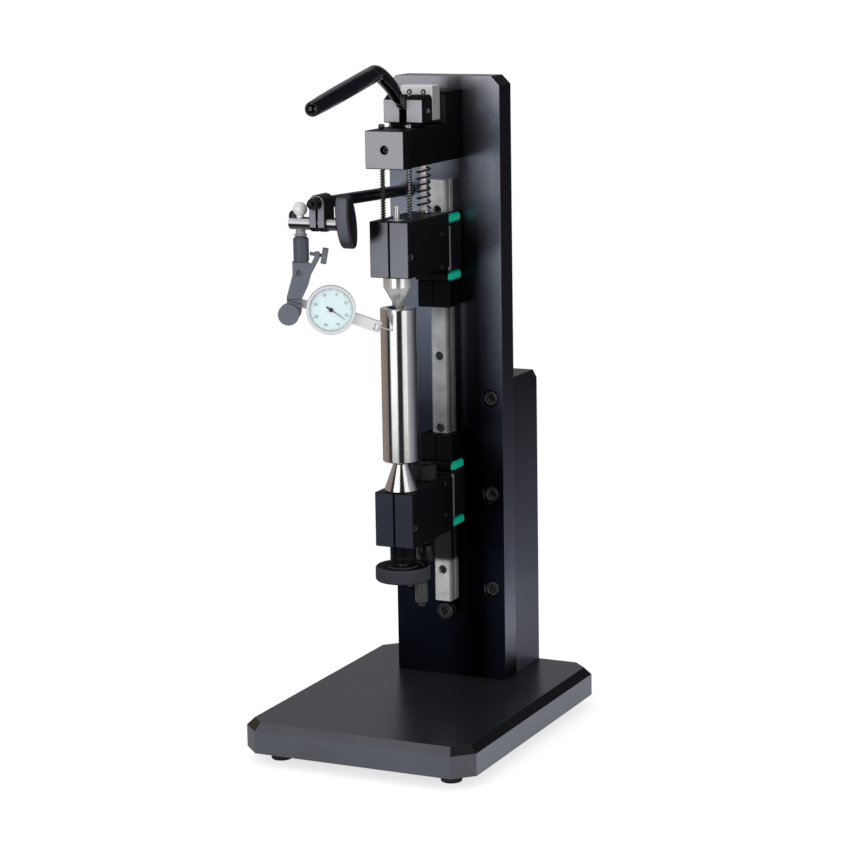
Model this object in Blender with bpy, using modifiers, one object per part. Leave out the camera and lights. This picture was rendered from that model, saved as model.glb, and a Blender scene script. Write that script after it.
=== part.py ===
"""A vertical bench center: a column carries a rail with an upper and a lower center, a test
cylinder is held between them, and an indicator on a jointed arm reads its surface.

Metres, +Z up. The origin is on the surface that the feet stand on, under the middle of the whole
object's outline, so the base plate's middle lies a little behind it. The front is -Y, the centers'
axis stands at X = 0, and the indicator's arm is on the -X side.
"""

import math

import bmesh
import bpy
from mathutils import Matrix, Quaternion, Vector

COLLECTION_NAME = "vertical_bench_center"
CUTTER_COLLECTION_NAME = "vertical_bench_center_cutters"

# Clearances
gap = 0.0003
overrun = 0.001
weld_distance = 0.000001
flat_angle_deg = 0.1

# Sides of round pieces
fine_sides = 32
round_sides = 24
small_sides = 12
arc_steps = 6

# Base plate and feet
base_setback = 0.0218
base_width = 0.202
base_depth = 0.268
base_height = 0.024
base_corner_cut = 0.0153
base_edge_cut = 0.006
foot_diameter = 0.019
foot_height = 0.010
foot_edge_cut = 0.0012
foot_inset_x = 0.026
foot_inset_y = 0.025

# Column plate and the stiffener behind it
column_width = 0.099
column_thickness = 0.023
column_rise_past_head = 0.0105
column_corner_cut = 0.0073
column_setback = 0.189
stiffener_depth = 0.0482
stiffener_height = 0.2533
stiffener_top_cut = 0.008
column_screw_pitch = 0.0804
column_screw_count = 3
column_screw_inset = 0.0111
column_screw_lowest = 0.0775
column_screw_counterbore = 0.015
column_screw_counterbore_depth = 0.0085
column_screw_hole = 0.009

# Rail
rail_width = 0.015
rail_depth = 0.015
rail_head_room = 0.0172
rail_lowest = 0.0675
rail_edge_cut = 0.0013
rail_groove_width = 0.0024
rail_groove_depth = 0.0006
rail_groove_from_face = 0.0065
rail_hole_count = 6
rail_hole_offset = 0.0267
rail_hole_end = 0.0243
rail_hole = 0.0045
rail_counterbore = 0.0075
rail_counterbore_depth = 0.0053

# Screw that stops the lower carriage
stop_screw_drop = 0.0097
stop_screw_head = 0.0136
stop_screw_head_length = 0.008
stop_screw_shank = 0.008
stop_screw_stand = 0.0042
stop_screw_bite = 0.010
stop_screw_socket = 0.0069
stop_screw_socket_depth = 0.004

# Bearings that run on the rail
bearing_width = 0.034
bearing_length = 0.0545
bearing_stand = 0.028
bearing_lift = 0.0043
bearing_edge_cut = 0.0016
seal_length = 0.0075
seal_inset = 0.0008

# Clamps on the rail beside each bearing
rail_clamp_width = 0.028
rail_clamp_length = 0.0218
rail_clamp_stand = 0.0245
rail_clamp_slit = 0.0012
rail_clamp_slit_depth = 0.003
rail_clamp_edge_cut = 0.0006

# Holders that carry the centers
holder_width = 0.0337
holder_height = 0.0443
holder_nose = 0.0146
holder_edge_cut = 0.0006
holder_slit = 0.0018
holder_bore = 0.012
clamp_screw_from_face = 0.0042
clamp_screw_rise = 0.0165
clamp_screw_shank = 0.004
clamp_screw_head = 0.007
clamp_screw_head_length = 0.004
clamp_screw_length = 0.026
clamp_screw_socket = 0.003
clamp_screw_socket_depth = 0.002
axis_reach = 0.090
lower_holder_bottom = 0.1328
upper_holder_stand = 0.0251
upper_bearing_drop = 0.012
lower_bearing_rise = 0.0009

# Upper center
upper_collar = 0.0228
upper_collar_length = 0.0084
upper_cone_half_angle_deg = 30.0
center_point_flat = 0.0006
upper_tail = 0.0048
upper_tail_stand = 0.012

# Lower center with its drive
lower_cone_base = 0.0270
lower_cone_rim = 0.0012
lower_cone_half_angle_deg = 19.3
lower_shank_below = 0.0172
drive_collar = 0.0202
drive_collar_length = 0.0142
drive_collar_edge_cut = 0.0008
wheel_diameter = 0.0442
wheel_thickness = 0.0116
wheel_edge_cut = 0.0012
wheel_hub = 0.015
crank_radius = 0.0165
crank_turn_deg = -1.5
crank_stud = 0.004
crank_grip_diameter = 0.0103
crank_grip_length = 0.0175
crank_grip_edge_cut = 0.0015
crank_head = 0.006
crank_head_length = 0.0015

# Test cylinder held between the centers
mandrel_diameter = 0.0288
mandrel_length = 0.1235
mandrel_edge_cut = 0.0008
mandrel_seat = 0.0238

# Screw that clamps the lower holder
holder_lock_setback = 0.042
holder_lock_shaft = 0.005
holder_lock_nut = 0.0212
holder_lock_nut_height = 0.0130
holder_lock_knob = 0.0144
holder_lock_knob_height = 0.0145
holder_lock_knob_drop = 0.009
holder_lock_edge_cut = 0.0012

# Head arm above the upper holder
head_arm_width = 0.0334
spring_room = 0.0416
head_arm_height = 0.0299
head_arm_nose = 0.0196
head_riser_depth = 0.0305
head_riser_height = 0.0254
head_riser_round = 0.005
head_edge_cut = 0.0006
head_set_hole = 0.0074
head_set_hole_depth = 0.012
head_set_screw_length = 0.006
head_set_screw_sink = 0.003
head_set_screw_socket = 0.003

# Guide rods, lift rod and their springs
guide_rod = 0.0025
guide_rod_spread = 0.0232
guide_rod_bite = 0.006
guide_head = 0.0051
guide_head_length = 0.0034
guide_hole_clearance = 0.0003
lift_rod = 0.005
lift_rod_setback = 0.0503
lift_rod_bite = 0.008
lift_washer = 0.0105
lift_washer_thickness = 0.0025
guide_spring_wire = 0.0007
guide_spring_diameter = 0.0046
guide_spring_turns = 19
lift_spring_wire = 0.0015
lift_spring_diameter = 0.0121
lift_spring_turns = 7
spring_points_per_turn = 8
spring_bevel_resolution = 1

# Lift block on top of the lift rod
lift_block_width = 0.028
lift_block_depth = 0.0142
lift_block_height = 0.0275
lift_block_rise = 0.0038
lift_block_setback = 0.040
lift_block_edge_cut = 0.0008
lift_block_rod_depth = 0.011

# Bracket with the lever's pin
bracket_width = 0.034
bracket_depth = 0.0187
bracket_height = 0.0217
bracket_setback = 0.0148
bracket_foot_height = 0.0034
bracket_foot_inset = 0.004
bracket_foot_depth = 0.0112
bracket_slope_run = 0.006
bracket_slope_drop = 0.0036
bracket_side_cut = 0.0006
bracket_back_round = 0.005
bracket_slot = 0.0066
bracket_web = 0.003
lever_pivot_setback = 0.025
lever_pivot_rise = 0.0123
lever_pin = 0.005

# Lever
lever_tongue = 0.006
lever_hub = 0.0125
lever_tail_reach = 0.0182
lever_tail_drop = 0.0103
lever_tail_thickness = 0.0028
lever_tail_elbow = 0.008
lever_neck_radius = 0.0060
lever_grip_diameter = 0.0134
lever_grip_length = 0.106
lever_grip_slope_deg = -10.7
lever_grip_bore = 0.008
lever_rod = 0.0074
lever_rod_length = 0.085
lever_bend_reach = 0.0575
lever_bend_rise = 0.0330

# Arm: ball stud on the column, rod and clamp block
arm_root_inset = 0.016
arm_root_drop = 0.0272
arm_rise = 0.0052
arm_stand_off = 0.0566
arm_rod_diameter = 0.0094
arm_rod_tail = 0.002
arm_nose_stand = 0.0075
arm_tip_diameter = 0.0048
arm_tip_length = 0.005
root_ball = 0.007
root_neck = 0.0036
root_flange = 0.013
root_flange_thickness = 0.003
root_ball_stand = 0.0085
root_stud_bite = 0.008
root_mouth_clearance = 0.0007
clamp_block_width = 0.0135
clamp_block_depth = 0.017
clamp_block_shaft_inset = 0.0075
clamp_block_bottom_drop = 0.0222
clamp_block_edge_cut = 0.0035
clamp_block_slit = 0.002
cross_shaft_drop = 0.0166
cross_shaft_diameter = 0.010
cross_shaft_left = 0.0267
cross_shaft_right = 0.0152
cross_shaft_stud = 0.005
cross_shaft_lug_width = 0.0052
cross_shaft_lug_depth = 0.006
cross_shaft_lug_rise = 0.0104
paddle_length = 0.0435
paddle_width = 0.0156
paddle_thickness = 0.0121
paddle_edge_round = 0.0018
paddle_turn_deg = 12.0
paddle_stud_bite = 0.007

# Swivel with the ball, and the barrel under it
swivel_inset = 0.0085
swivel_ball = 0.0112
swivel_ball_rise = 0.0108
swivel_stem = 0.006
swivel_neck = 0.0077
swivel_neck_length = 0.0044
swivel_flange = 0.0102
swivel_flange_thickness = 0.0012
swivel_thread = 0.005
swivel_thread_length = 0.010
barrel_diameter = 0.0122
barrel_length = 0.0198
barrel_neck = 0.008
barrel_taper = 0.0022
barrel_tongue_thickness = 0.004
barrel_tongue_width = 0.009
barrel_tongue_length = 0.0125

# Fine adjustment below the barrel, in the indicator's own plane
indicator_turn_deg = 27.0
fine_thickness = 0.010
fine_pivot_across = -0.0026
fine_pivot_drop = 0.0079
fine_pivot_diameter = 0.0035
fine_pivot_head = 0.0046
fine_pivot_head_length = 0.001
fine_body_length = 0.0285
fine_screw_diameter = 0.003
fine_branch_across = 0.0122
fine_branch_width = 0.0042
fine_branch_rise = 0.0074
fine_screw_turn_deg = 10.7
fine_screw_center_across = 0.0180
fine_screw_center_rise = 0.0042
fine_screw_knob = 0.0128
fine_screw_knob_length = 0.0046
fine_edge_cut = 0.0006

# Clamp that grips the indicator's dovetail
clamp_center_across = -0.0109
clamp_center_drop = 0.0405
clamp_round = 0.0152
clamp_top_width = 0.0122
clamp_front = 0.0030
clamp_depth = 0.0090
clamp_knob = 0.0168
clamp_knob_length = 0.0048
clamp_knob_edge_cut = 0.0008
clamp_knob_stud = 0.004
dovetail_height = 0.0062
dovetail_depth = 0.004
dovetail_reach = 0.0262
dovetail_drop = 0.0036
dovetail_groove_clearance = 0.0003

# Indicator
dial_center_across = 0.0221
dial_center_drop = 0.0378
indicator_slope_deg = -20.8
bezel_diameter = 0.0386
bezel_thickness = 0.0072
bezel_front = 0.0062
bezel_wall = 0.0024
bezel_lip = 0.0012
bezel_edge_cut = 0.0006
dial_thickness = 0.0008
dial_sink = 0.0042
glass_thickness = 0.0012
pointer_length = 0.0135
pointer_tail = 0.004
pointer_width = 0.0007
pointer_thickness = 0.0004
pointer_hub = 0.0022
pointer_pin = 0.0012
pointer_turn_deg = -35.0
body_diameter = 0.034
body_thickness = 0.0086
body_edge_cut = 0.0012
nose_width = 0.0086
nose_drop = 0.0012
nose_depth = 0.0078
nose_end = 0.0357
nose_ear_end = 0.0412
nose_slot = 0.0055
stylus_pivot_reach = 0.0390
stylus_plane = -0.0050
stylus_hub = 0.0052
stylus_hub_height = 0.0049
stylus_wire = 0.0014
stylus_ball = 0.0020
stylus_tip_side = 0.0009
stylus_tip_drop = 0.0065

# Looks: colour, roughness, metallic
black_anodised = ((0.045, 0.048, 0.058), 0.42, 0.3)
black_oxide = ((0.02, 0.021, 0.024), 0.35, 0.8)
black_gloss = ((0.012, 0.012, 0.014), 0.12, 0.0)
brushed_steel = ((0.62, 0.63, 0.66), 0.35, 1.0)
polished_steel = ((0.75, 0.75, 0.76), 0.08, 1.0)
green_plastic = ((0.01, 0.56, 0.36), 0.4, 0.0)
grey_rubber = ((0.05, 0.05, 0.055), 0.7, 0.0)
dial_blue = ((0.66, 0.80, 0.82), 0.5, 0.0)
clear_glass = ((0.9, 0.95, 0.95), 0.02, 0.0)
satin_chrome = ((0.80, 0.80, 0.82), 0.22, 1.0)

# Places worked out from the sizes above
base_bottom = foot_height
base_top = base_bottom + base_height
base_front = base_setback - base_depth / 2
column_front = base_front + column_setback
column_back = column_front + column_thickness
column_bottom = base_top + gap
column_screw_spread = column_width - 2 * column_screw_inset
rail_bottom = base_top + rail_lowest
rail_back = column_front - gap
rail_front = column_front - rail_depth
axis_y = column_front - axis_reach
bearing_front = column_front - bearing_stand
bearing_back = column_front - bearing_lift
holder_front = axis_y - holder_nose
holder_back = bearing_front - gap
lower_holder_z = base_top + lower_holder_bottom
lower_holder_top = lower_holder_z + holder_height
lower_cone_low = lower_holder_top + gap
lower_cone_start = lower_cone_low + lower_cone_rim
mandrel_bottom = lower_cone_start + mandrel_seat - lower_cone_rim
mandrel_top = mandrel_bottom + mandrel_length
upper_holder_z = mandrel_top + upper_holder_stand
upper_holder_top = upper_holder_z + holder_height
head_bottom = upper_holder_top + spring_room
head_top = head_bottom + head_arm_height
head_front = axis_y - head_arm_nose
head_riser_top = head_top + head_riser_height
column_top = head_riser_top + column_rise_past_head
rail_top = head_bottom - rail_head_room
rail_length = rail_top - rail_bottom
rail_hole_pitch = (rail_length - rail_hole_offset - rail_hole_end) / (rail_hole_count - 1)
lift_rod_y = axis_y + lift_rod_setback
lift_block_front = axis_y + lift_block_setback
lift_block_bottom = head_top + lift_block_rise
lever_pivot = Vector((0, axis_y + lever_pivot_setback, head_top + lever_pivot_rise))
arm_root_x = arm_root_inset - column_width / 2
arm_root_z = head_bottom - arm_root_drop
arm_front_reach = axis_reach + mandrel_diameter / 2 + arm_stand_off
UP = Vector((0, 0, 1))
ACROSS = Vector((1, 0, 0))
BACK = Vector((0, 1, 0))
WORLD = Matrix.Identity(4)


def make_collection(name):
    made = bpy.data.collections.new(name)
    bpy.context.scene.collection.children.link(made)
    return made


for old in list(bpy.data.objects):
    bpy.data.objects.remove(old, do_unlink=True)
parts = make_collection(COLLECTION_NAME)
cutters = make_collection(CUTTER_COLLECTION_NAME)


def place(piece, location, turn=None, frame=WORLD):
    """Put a piece at a place and turn given in a frame."""
    piece.matrix_world = frame @ Matrix.LocRotScale(Vector(location), turn or Quaternion(), None)
    return piece


def mesh_piece(name, shape):
    mesh = bpy.data.meshes.new(name)
    shape.to_mesh(mesh)
    shape.free()
    piece = bpy.data.objects.new(name, mesh)
    parts.objects.link(piece)
    return piece


def block(name, low, high, frame=WORLD):
    """A box between two opposite corners."""
    low, high = Vector(low), Vector(high)
    shape = bmesh.new()
    bmesh.ops.create_cube(shape, size=1)
    bmesh.ops.scale(shape, vec=high - low, verts=shape.verts)
    return place(mesh_piece(name, shape), (low + high) / 2, None, frame)


def rod(name, diameter, start, end, sides=round_sides, end_diameter=None, frame=WORLD):
    """A cylinder or a cone between two points."""
    start, end = Vector(start), Vector(end)
    shape = bmesh.new()
    bmesh.ops.create_cone(
        shape,
        cap_ends=True,
        segments=sides,
        radius1=diameter / 2,
        radius2=(diameter if end_diameter is None else end_diameter) / 2,
        depth=(end - start).length,
    )
    piece = mesh_piece(name, shape)
    turn = (end - start).to_track_quat("Z", "Y")
    return place(smooth(piece), (start + end) / 2, turn, frame)


def ball(name, diameter, middle, frame=WORLD):
    shape = bmesh.new()
    bmesh.ops.create_uvsphere(
        shape, u_segments=small_sides, v_segments=small_sides // 2, radius=diameter / 2
    )
    return place(smooth(mesh_piece(name, shape)), middle, None, frame)


def turned(name, profile, base, direction=UP, sides=round_sides, closed=False, frame=WORLD):
    """A turned piece: (diameter, height) pairs down its outer side, heights along the direction."""
    points = [(diameter / 2, 0, height) for diameter, height in profile]
    edges = [(i, i + 1) for i in range(len(points) - 1)]
    if closed:
        edges.append((len(points) - 1, 0))
    mesh = bpy.data.meshes.new(name)
    mesh.from_pydata(points, edges, [])
    piece = bpy.data.objects.new(name, mesh)
    parts.objects.link(piece)
    screw = piece.modifiers.new("turn", "SCREW")
    screw.steps = sides
    screw.render_steps = sides
    screw.use_merge_vertices = True
    screw.merge_threshold = weld_distance
    screw.use_smooth_shade = True
    return place(piece, base, Vector(direction).to_track_quat("Z", "Y"), frame)


def as_mesh(curve_piece):
    """The curve's solid as a mesh object with its caps welded, in the curve's place."""
    bpy.context.view_layer.update()
    seen = curve_piece.evaluated_get(bpy.context.evaluated_depsgraph_get())
    mesh = bpy.data.meshes.new_from_object(seen)
    shape = bmesh.new()
    shape.from_mesh(mesh)
    bmesh.ops.remove_doubles(shape, verts=shape.verts, dist=weld_distance)
    bmesh.ops.dissolve_limit(
        shape,
        angle_limit=math.radians(flat_angle_deg),
        verts=shape.verts,
        edges=shape.edges,
    )
    bmesh.ops.recalc_face_normals(shape, faces=shape.faces)
    shape.to_mesh(mesh)
    shape.free()
    name = curve_piece.name
    where = curve_piece.matrix_world.copy()
    bpy.data.objects.remove(curve_piece, do_unlink=True)
    piece = bpy.data.objects.new(name, mesh)
    parts.objects.link(piece)
    piece.matrix_world = where
    return piece


def plate(name, outline, thickness, middle, turn=None, frame=WORLD):
    """A flat outline in its own XY plane, thickened evenly to both sides."""
    curve = bpy.data.curves.new(name, "CURVE")
    curve.dimensions = "2D"
    curve.fill_mode = "BOTH"
    curve.extrude = thickness / 2
    spline = curve.splines.new("POLY")
    spline.points.add(len(outline) - 1)
    for point, (across, up) in zip(spline.points, outline):
        point.co = (across, up, 0, 1)
    spline.use_cyclic_u = True
    piece = bpy.data.objects.new(name, curve)
    parts.objects.link(piece)
    place(piece, middle, turn, frame)
    return as_mesh(piece)


def wire(name, points, diameter, radii=None, resolution=spring_bevel_resolution, frame=WORLD):
    """A round wire through points, with its ends closed."""
    curve = bpy.data.curves.new(name, "CURVE")
    curve.dimensions = "3D"
    curve.bevel_depth = diameter / 2
    curve.bevel_resolution = resolution
    curve.use_fill_caps = True
    spline = curve.splines.new("POLY")
    spline.points.add(len(points) - 1)
    for index, (point, place_at) in enumerate(zip(spline.points, points)):
        point.co = (*place_at, 1)
        point.radius = radii[index] if radii else 1
    piece = bpy.data.objects.new(name, curve)
    parts.objects.link(piece)
    place(piece, (0, 0, 0), None, frame)
    return smooth(as_mesh(piece))


def smooth(piece, angle_deg=35):
    piece.data.shade_smooth()
    piece.data.set_sharp_from_angle(angle=math.radians(angle_deg))
    return piece


def soften(piece, width, segments=1, limit_deg=40):
    """Cut or round the piece's sharp edges."""
    bevel = piece.modifiers.new("edges", "BEVEL")
    bevel.width = width
    bevel.segments = segments
    bevel.limit_method = "ANGLE"
    bevel.angle_limit = math.radians(limit_deg)
    return piece


def combine(piece, tool, operation):
    tool.parent = piece
    bpy.context.view_layer.update()
    tool.matrix_parent_inverse = piece.matrix_world.inverted()
    parts.objects.unlink(tool)
    cutters.objects.link(tool)
    tool.hide_render = True
    tool.display_type = "WIRE"
    change = piece.modifiers.new(tool.name, "BOOLEAN")
    change.operation = operation
    change.object = tool
    return piece


def cut(piece, *tools):
    for tool in tools:
        combine(piece, tool, "DIFFERENCE")
    return piece


def join(piece, *tools):
    for tool in tools:
        combine(piece, tool, "UNION")
    return piece


def paint(piece, look, alpha=1.0):
    """Give a piece its own material."""
    colour, roughness, metallic = look
    material = bpy.data.materials.new(piece.name + "_finish")
    material.use_nodes = True
    shader = material.node_tree.nodes["Principled BSDF"]
    shader.inputs["Base Color"].default_value = (*colour, 1)
    shader.inputs["Roughness"].default_value = roughness
    shader.inputs["Metallic"].default_value = metallic
    shader.inputs["Alpha"].default_value = alpha
    piece.data.materials.clear()
    piece.data.materials.append(material)
    return piece


def joint(name, location, direction=UP, parent=None):
    """An empty on a joint's axis, with its own Z along the axis."""
    empty = bpy.data.objects.new(name, None)
    empty.empty_display_size = foot_diameter
    parts.objects.link(empty)
    place(empty, location, Vector(direction).to_track_quat("Z", "Y"))
    if parent:
        carry(parent, empty)
    return empty


def carry(carrier, *pieces):
    """Parent pieces to what carries them, where they stand."""
    bpy.context.view_layer.update()
    for piece in pieces:
        piece.parent = carrier
        piece.matrix_parent_inverse = carrier.matrix_world.inverted()


def arc(middle, radius, start_deg, end_deg, steps=arc_steps):
    """Points along an arc, both ends included."""
    angles = [math.radians(start_deg + (end_deg - start_deg) * i / steps) for i in range(steps + 1)]
    return [(middle[0] + radius * math.cos(a), middle[1] + radius * math.sin(a)) for a in angles]


# Turns that lay an outline in the YZ plane, facing +X, or in the XZ plane, facing -Y
side_on = Matrix((BACK, UP, ACROSS)).transposed().to_quaternion()
face_on = Matrix((ACROSS, UP, -BACK)).transposed().to_quaternion()


def make_base():
    half_w, half_d, corner = base_width / 2, base_depth / 2, base_corner_cut
    outline = [
        (half_w - corner, -half_d),
        (half_w, -half_d + corner),
        (half_w, half_d - corner),
        (half_w - corner, half_d),
        (-half_w + corner, half_d),
        (-half_w, half_d - corner),
        (-half_w, -half_d + corner),
        (-half_w + corner, -half_d),
    ]
    base = plate("base_plate", outline, base_height, (0, base_setback, base_bottom + base_height / 2))
    edge = base.modifiers.new("top_edge", "BEVEL")
    edge.width = base_edge_cut
    edge.segments = 1
    edge.limit_method = "VGROUP"
    rim = base.vertex_groups.new(name="top")
    rim.add([v.index for v in base.data.vertices if v.co.z > 0], 1.0, "REPLACE")
    edge.vertex_group = "top"
    paint(base, black_anodised)
    for side, sign_x in (("left", -1), ("right", 1)):
        for end, sign_y in (("front", -1), ("rear", 1)):
            x = sign_x * (half_w - foot_inset_x)
            y = base_setback + sign_y * (half_d - foot_inset_y)
            top = foot_height - gap
            profile = [
                (0, top),
                (foot_diameter, top),
                (foot_diameter, foot_edge_cut),
                (foot_diameter - 2 * foot_edge_cut, 0),
                (0, 0),
            ]
            paint(turned(f"foot_{end}_{side}", profile, (x, y, 0)), grey_rubber)


def make_column():
    half, cut_size = column_width / 2, column_corner_cut
    outline = [
        (-half, column_bottom),
        (half, column_bottom),
        (half, column_top - cut_size),
        (half - cut_size, column_top),
        (-half + cut_size, column_top),
        (-half, column_top - cut_size),
    ]
    middle_y = (column_front + column_back) / 2
    column = plate("column_plate", outline, column_thickness, (0, middle_y, 0), face_on)
    for side in (-1, 1):
        for row in range(column_screw_count):
            x = side * column_screw_spread / 2
            z = base_top + column_screw_lowest + row * column_screw_pitch
            sink = column_front + column_screw_counterbore_depth
            cut(
                column,
                rod(
                    f"column_counterbore_{side}_{row}",
                    column_screw_counterbore,
                    (x, column_front - overrun, z),
                    (x, sink, z),
                ),
                rod(
                    f"column_hole_{side}_{row}",
                    column_screw_hole,
                    (x, sink - overrun, z),
                    (x, column_back + overrun, z),
                    small_sides,
                ),
            )
    stop_z = rail_bottom - stop_screw_drop
    hole_end = column_front + stop_screw_bite + gap
    cut(
        column,
        rod(
            "stop_screw_hole",
            stop_screw_shank + 2 * gap,
            (0, column_front - overrun, stop_z),
            (0, hole_end, stop_z),
        ),
        rod(
            "root_stud_hole",
            root_neck + 2 * gap,
            (arm_root_x, column_front - overrun, arm_root_z),
            (arm_root_x, column_front + root_stud_bite + gap, arm_root_z),
            small_sides,
        ),
    )
    paint(column, black_anodised)

    stiffener_back = column_back + gap + stiffener_depth
    stiffener_top = base_top + stiffener_height
    side_outline = [
        (column_back + gap, column_bottom),
        (stiffener_back, column_bottom),
        (stiffener_back, stiffener_top - stiffener_top_cut),
        (stiffener_back - stiffener_top_cut, stiffener_top),
        (column_back + gap, stiffener_top),
    ]
    stiffener = plate("rear_stiffener", side_outline, column_width, (0, 0, 0), side_on)
    paint(stiffener, black_anodised)

    head_back = column_front - stop_screw_stand
    head_front_y = head_back - stop_screw_head_length
    screw = rod(
        "stop_screw", stop_screw_head, (0, head_front_y, stop_z), (0, head_back, stop_z)
    )
    soften(screw, head_edge_cut)
    join(
        screw,
        rod(
            "stop_screw_thread",
            stop_screw_shank,
            (0, head_back - overrun, stop_z),
            (0, column_front + stop_screw_bite, stop_z),
        ),
    )
    cut(
        screw,
        rod(
            "stop_screw_hexagon",
            stop_screw_socket,
            (0, head_front_y - overrun, stop_z),
            (0, head_front_y + stop_screw_socket_depth, stop_z),
            6,
        ),
    )
    paint(screw, black_oxide)


def make_rail():
    half, bevel = rail_width / 2, rail_edge_cut
    groove_front = rail_front + rail_groove_from_face
    waist = half - rail_groove_depth
    right = [
        (half - bevel, rail_front),
        (half, rail_front + bevel),
        (half, groove_front),
        (waist, groove_front + rail_groove_depth),
        (waist, groove_front + rail_groove_width),
        (half, groove_front + rail_groove_width + rail_groove_depth),
        (half, rail_back),
    ]
    outline = right + [(-x, y) for x, y in reversed(right)]
    rail = plate("guide_rail", outline, rail_length, (0, 0, (rail_bottom + rail_top) / 2))
    for index in range(rail_hole_count):
        z = rail_bottom + rail_hole_offset + index * rail_hole_pitch
        floor = rail_front + rail_counterbore_depth
        cut(
            rail,
            rod(
                f"rail_counterbore_{index}",
                rail_counterbore,
                (0, rail_front - overrun, z),
                (0, floor, z),
                small_sides,
            ),
            rod(
                f"rail_hole_{index}",
                rail_hole,
                (0, floor - overrun, z),
                (0, rail_back + overrun, z),
                small_sides,
            ),
        )
    paint(rail, brushed_steel)


def around_rail(name, width, front, low, high, inset=0.0):
    """A block that straddles the rail with a running gap."""
    half = width / 2 - inset
    shape = block(name, (-half, front + inset, low), (half, bearing_back, high))
    channel = rail_width / 2 + gap
    return shape, block(
        name + "_channel",
        (-channel, rail_front - gap, low - overrun),
        (channel, column_front, high + overrun),
    )


def make_bearing(name, low, carrier):
    """A bearing block between its two end seals."""
    high = low + bearing_length
    body_low = low + seal_length + gap
    body_high = high - seal_length - gap
    body, channel = around_rail(f"{name}_bearing", bearing_width, bearing_front, body_low, body_high)
    soften(body, bearing_edge_cut)
    paint(cut(body, channel), black_oxide)
    pieces = [body]
    for end, seal_low in (("bottom", low), ("top", high - seal_length)):
        seal, channel = around_rail(
            f"{name}_seal_{end}",
            bearing_width,
            bearing_front,
            seal_low,
            seal_low + seal_length,
            seal_inset,
        )
        soften(seal, bearing_edge_cut)
        pieces.append(paint(cut(seal, channel), green_plastic))
    carry(carrier, *pieces)
    return low, high


def make_rail_clamp(name, low):
    front = column_front - rail_clamp_stand
    high = low + rail_clamp_length
    clamp, channel = around_rail(name, rail_clamp_width, front, low, high)
    soften(clamp, rail_clamp_edge_cut)
    slit = block(
        name + "_slit",
        (-rail_clamp_slit / 2, front - overrun, low - overrun),
        (rail_clamp_slit / 2, front + rail_clamp_slit_depth, high + overrun),
    )
    return paint(cut(clamp, channel, slit), black_anodised)


def make_holder(name, low, bore):
    """A block on the bearing with a split bore for the center, and the split's clamp screw."""
    high = low + holder_height
    half = holder_width / 2
    holder = block(name + "_holder", (-half, holder_front, low), (half, holder_back, high))
    soften(holder, holder_edge_cut)
    screw_y = holder_front + clamp_screw_from_face
    screw_z = low + clamp_screw_rise
    head_floor = half - clamp_screw_head_length
    screw_end = head_floor - (clamp_screw_length - clamp_screw_head_length)
    cut(
        holder,
        rod(
            name + "_holder_bore",
            bore + 2 * gap,
            (0, axis_y, low - overrun),
            (0, axis_y, high + overrun),
        ),
        block(
            name + "_holder_slit",
            (-holder_slit / 2, holder_front - overrun, low - overrun),
            (holder_slit / 2, axis_y, high + overrun),
        ),
        rod(
            name + "_screw_counterbore",
            clamp_screw_head + 2 * gap,
            (head_floor - gap, screw_y, screw_z),
            (half + overrun, screw_y, screw_z),
            small_sides,
        ),
        rod(
            name + "_screw_bore",
            clamp_screw_shank + 2 * gap,
            (screw_end - gap, screw_y, screw_z),
            (half + overrun, screw_y, screw_z),
            small_sides,
        ),
    )
    paint(holder, black_anodised)
    screw = rod(
        name + "_clamp_screw",
        clamp_screw_head,
        (head_floor, screw_y, screw_z),
        (half, screw_y, screw_z),
        small_sides,
    )
    join(
        screw,
        rod(
            name + "_clamp_screw_thread",
            clamp_screw_shank,
            (screw_end, screw_y, screw_z),
            (head_floor + clamp_screw_head_length / 4, screw_y, screw_z),
            small_sides,
        ),
    )
    cut(
        screw,
        rod(
            name + "_clamp_screw_hexagon",
            clamp_screw_socket,
            (half - clamp_screw_socket_depth, screw_y, screw_z),
            (half + overrun, screw_y, screw_z),
            6,
        ),
    )
    paint(screw, black_oxide)
    return holder, screw


def cone_drop(diameter, end_diameter, half_angle_deg):
    """The length of a cone between two diameters."""
    return (diameter - end_diameter) / 2 / math.tan(math.radians(half_angle_deg))


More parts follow.
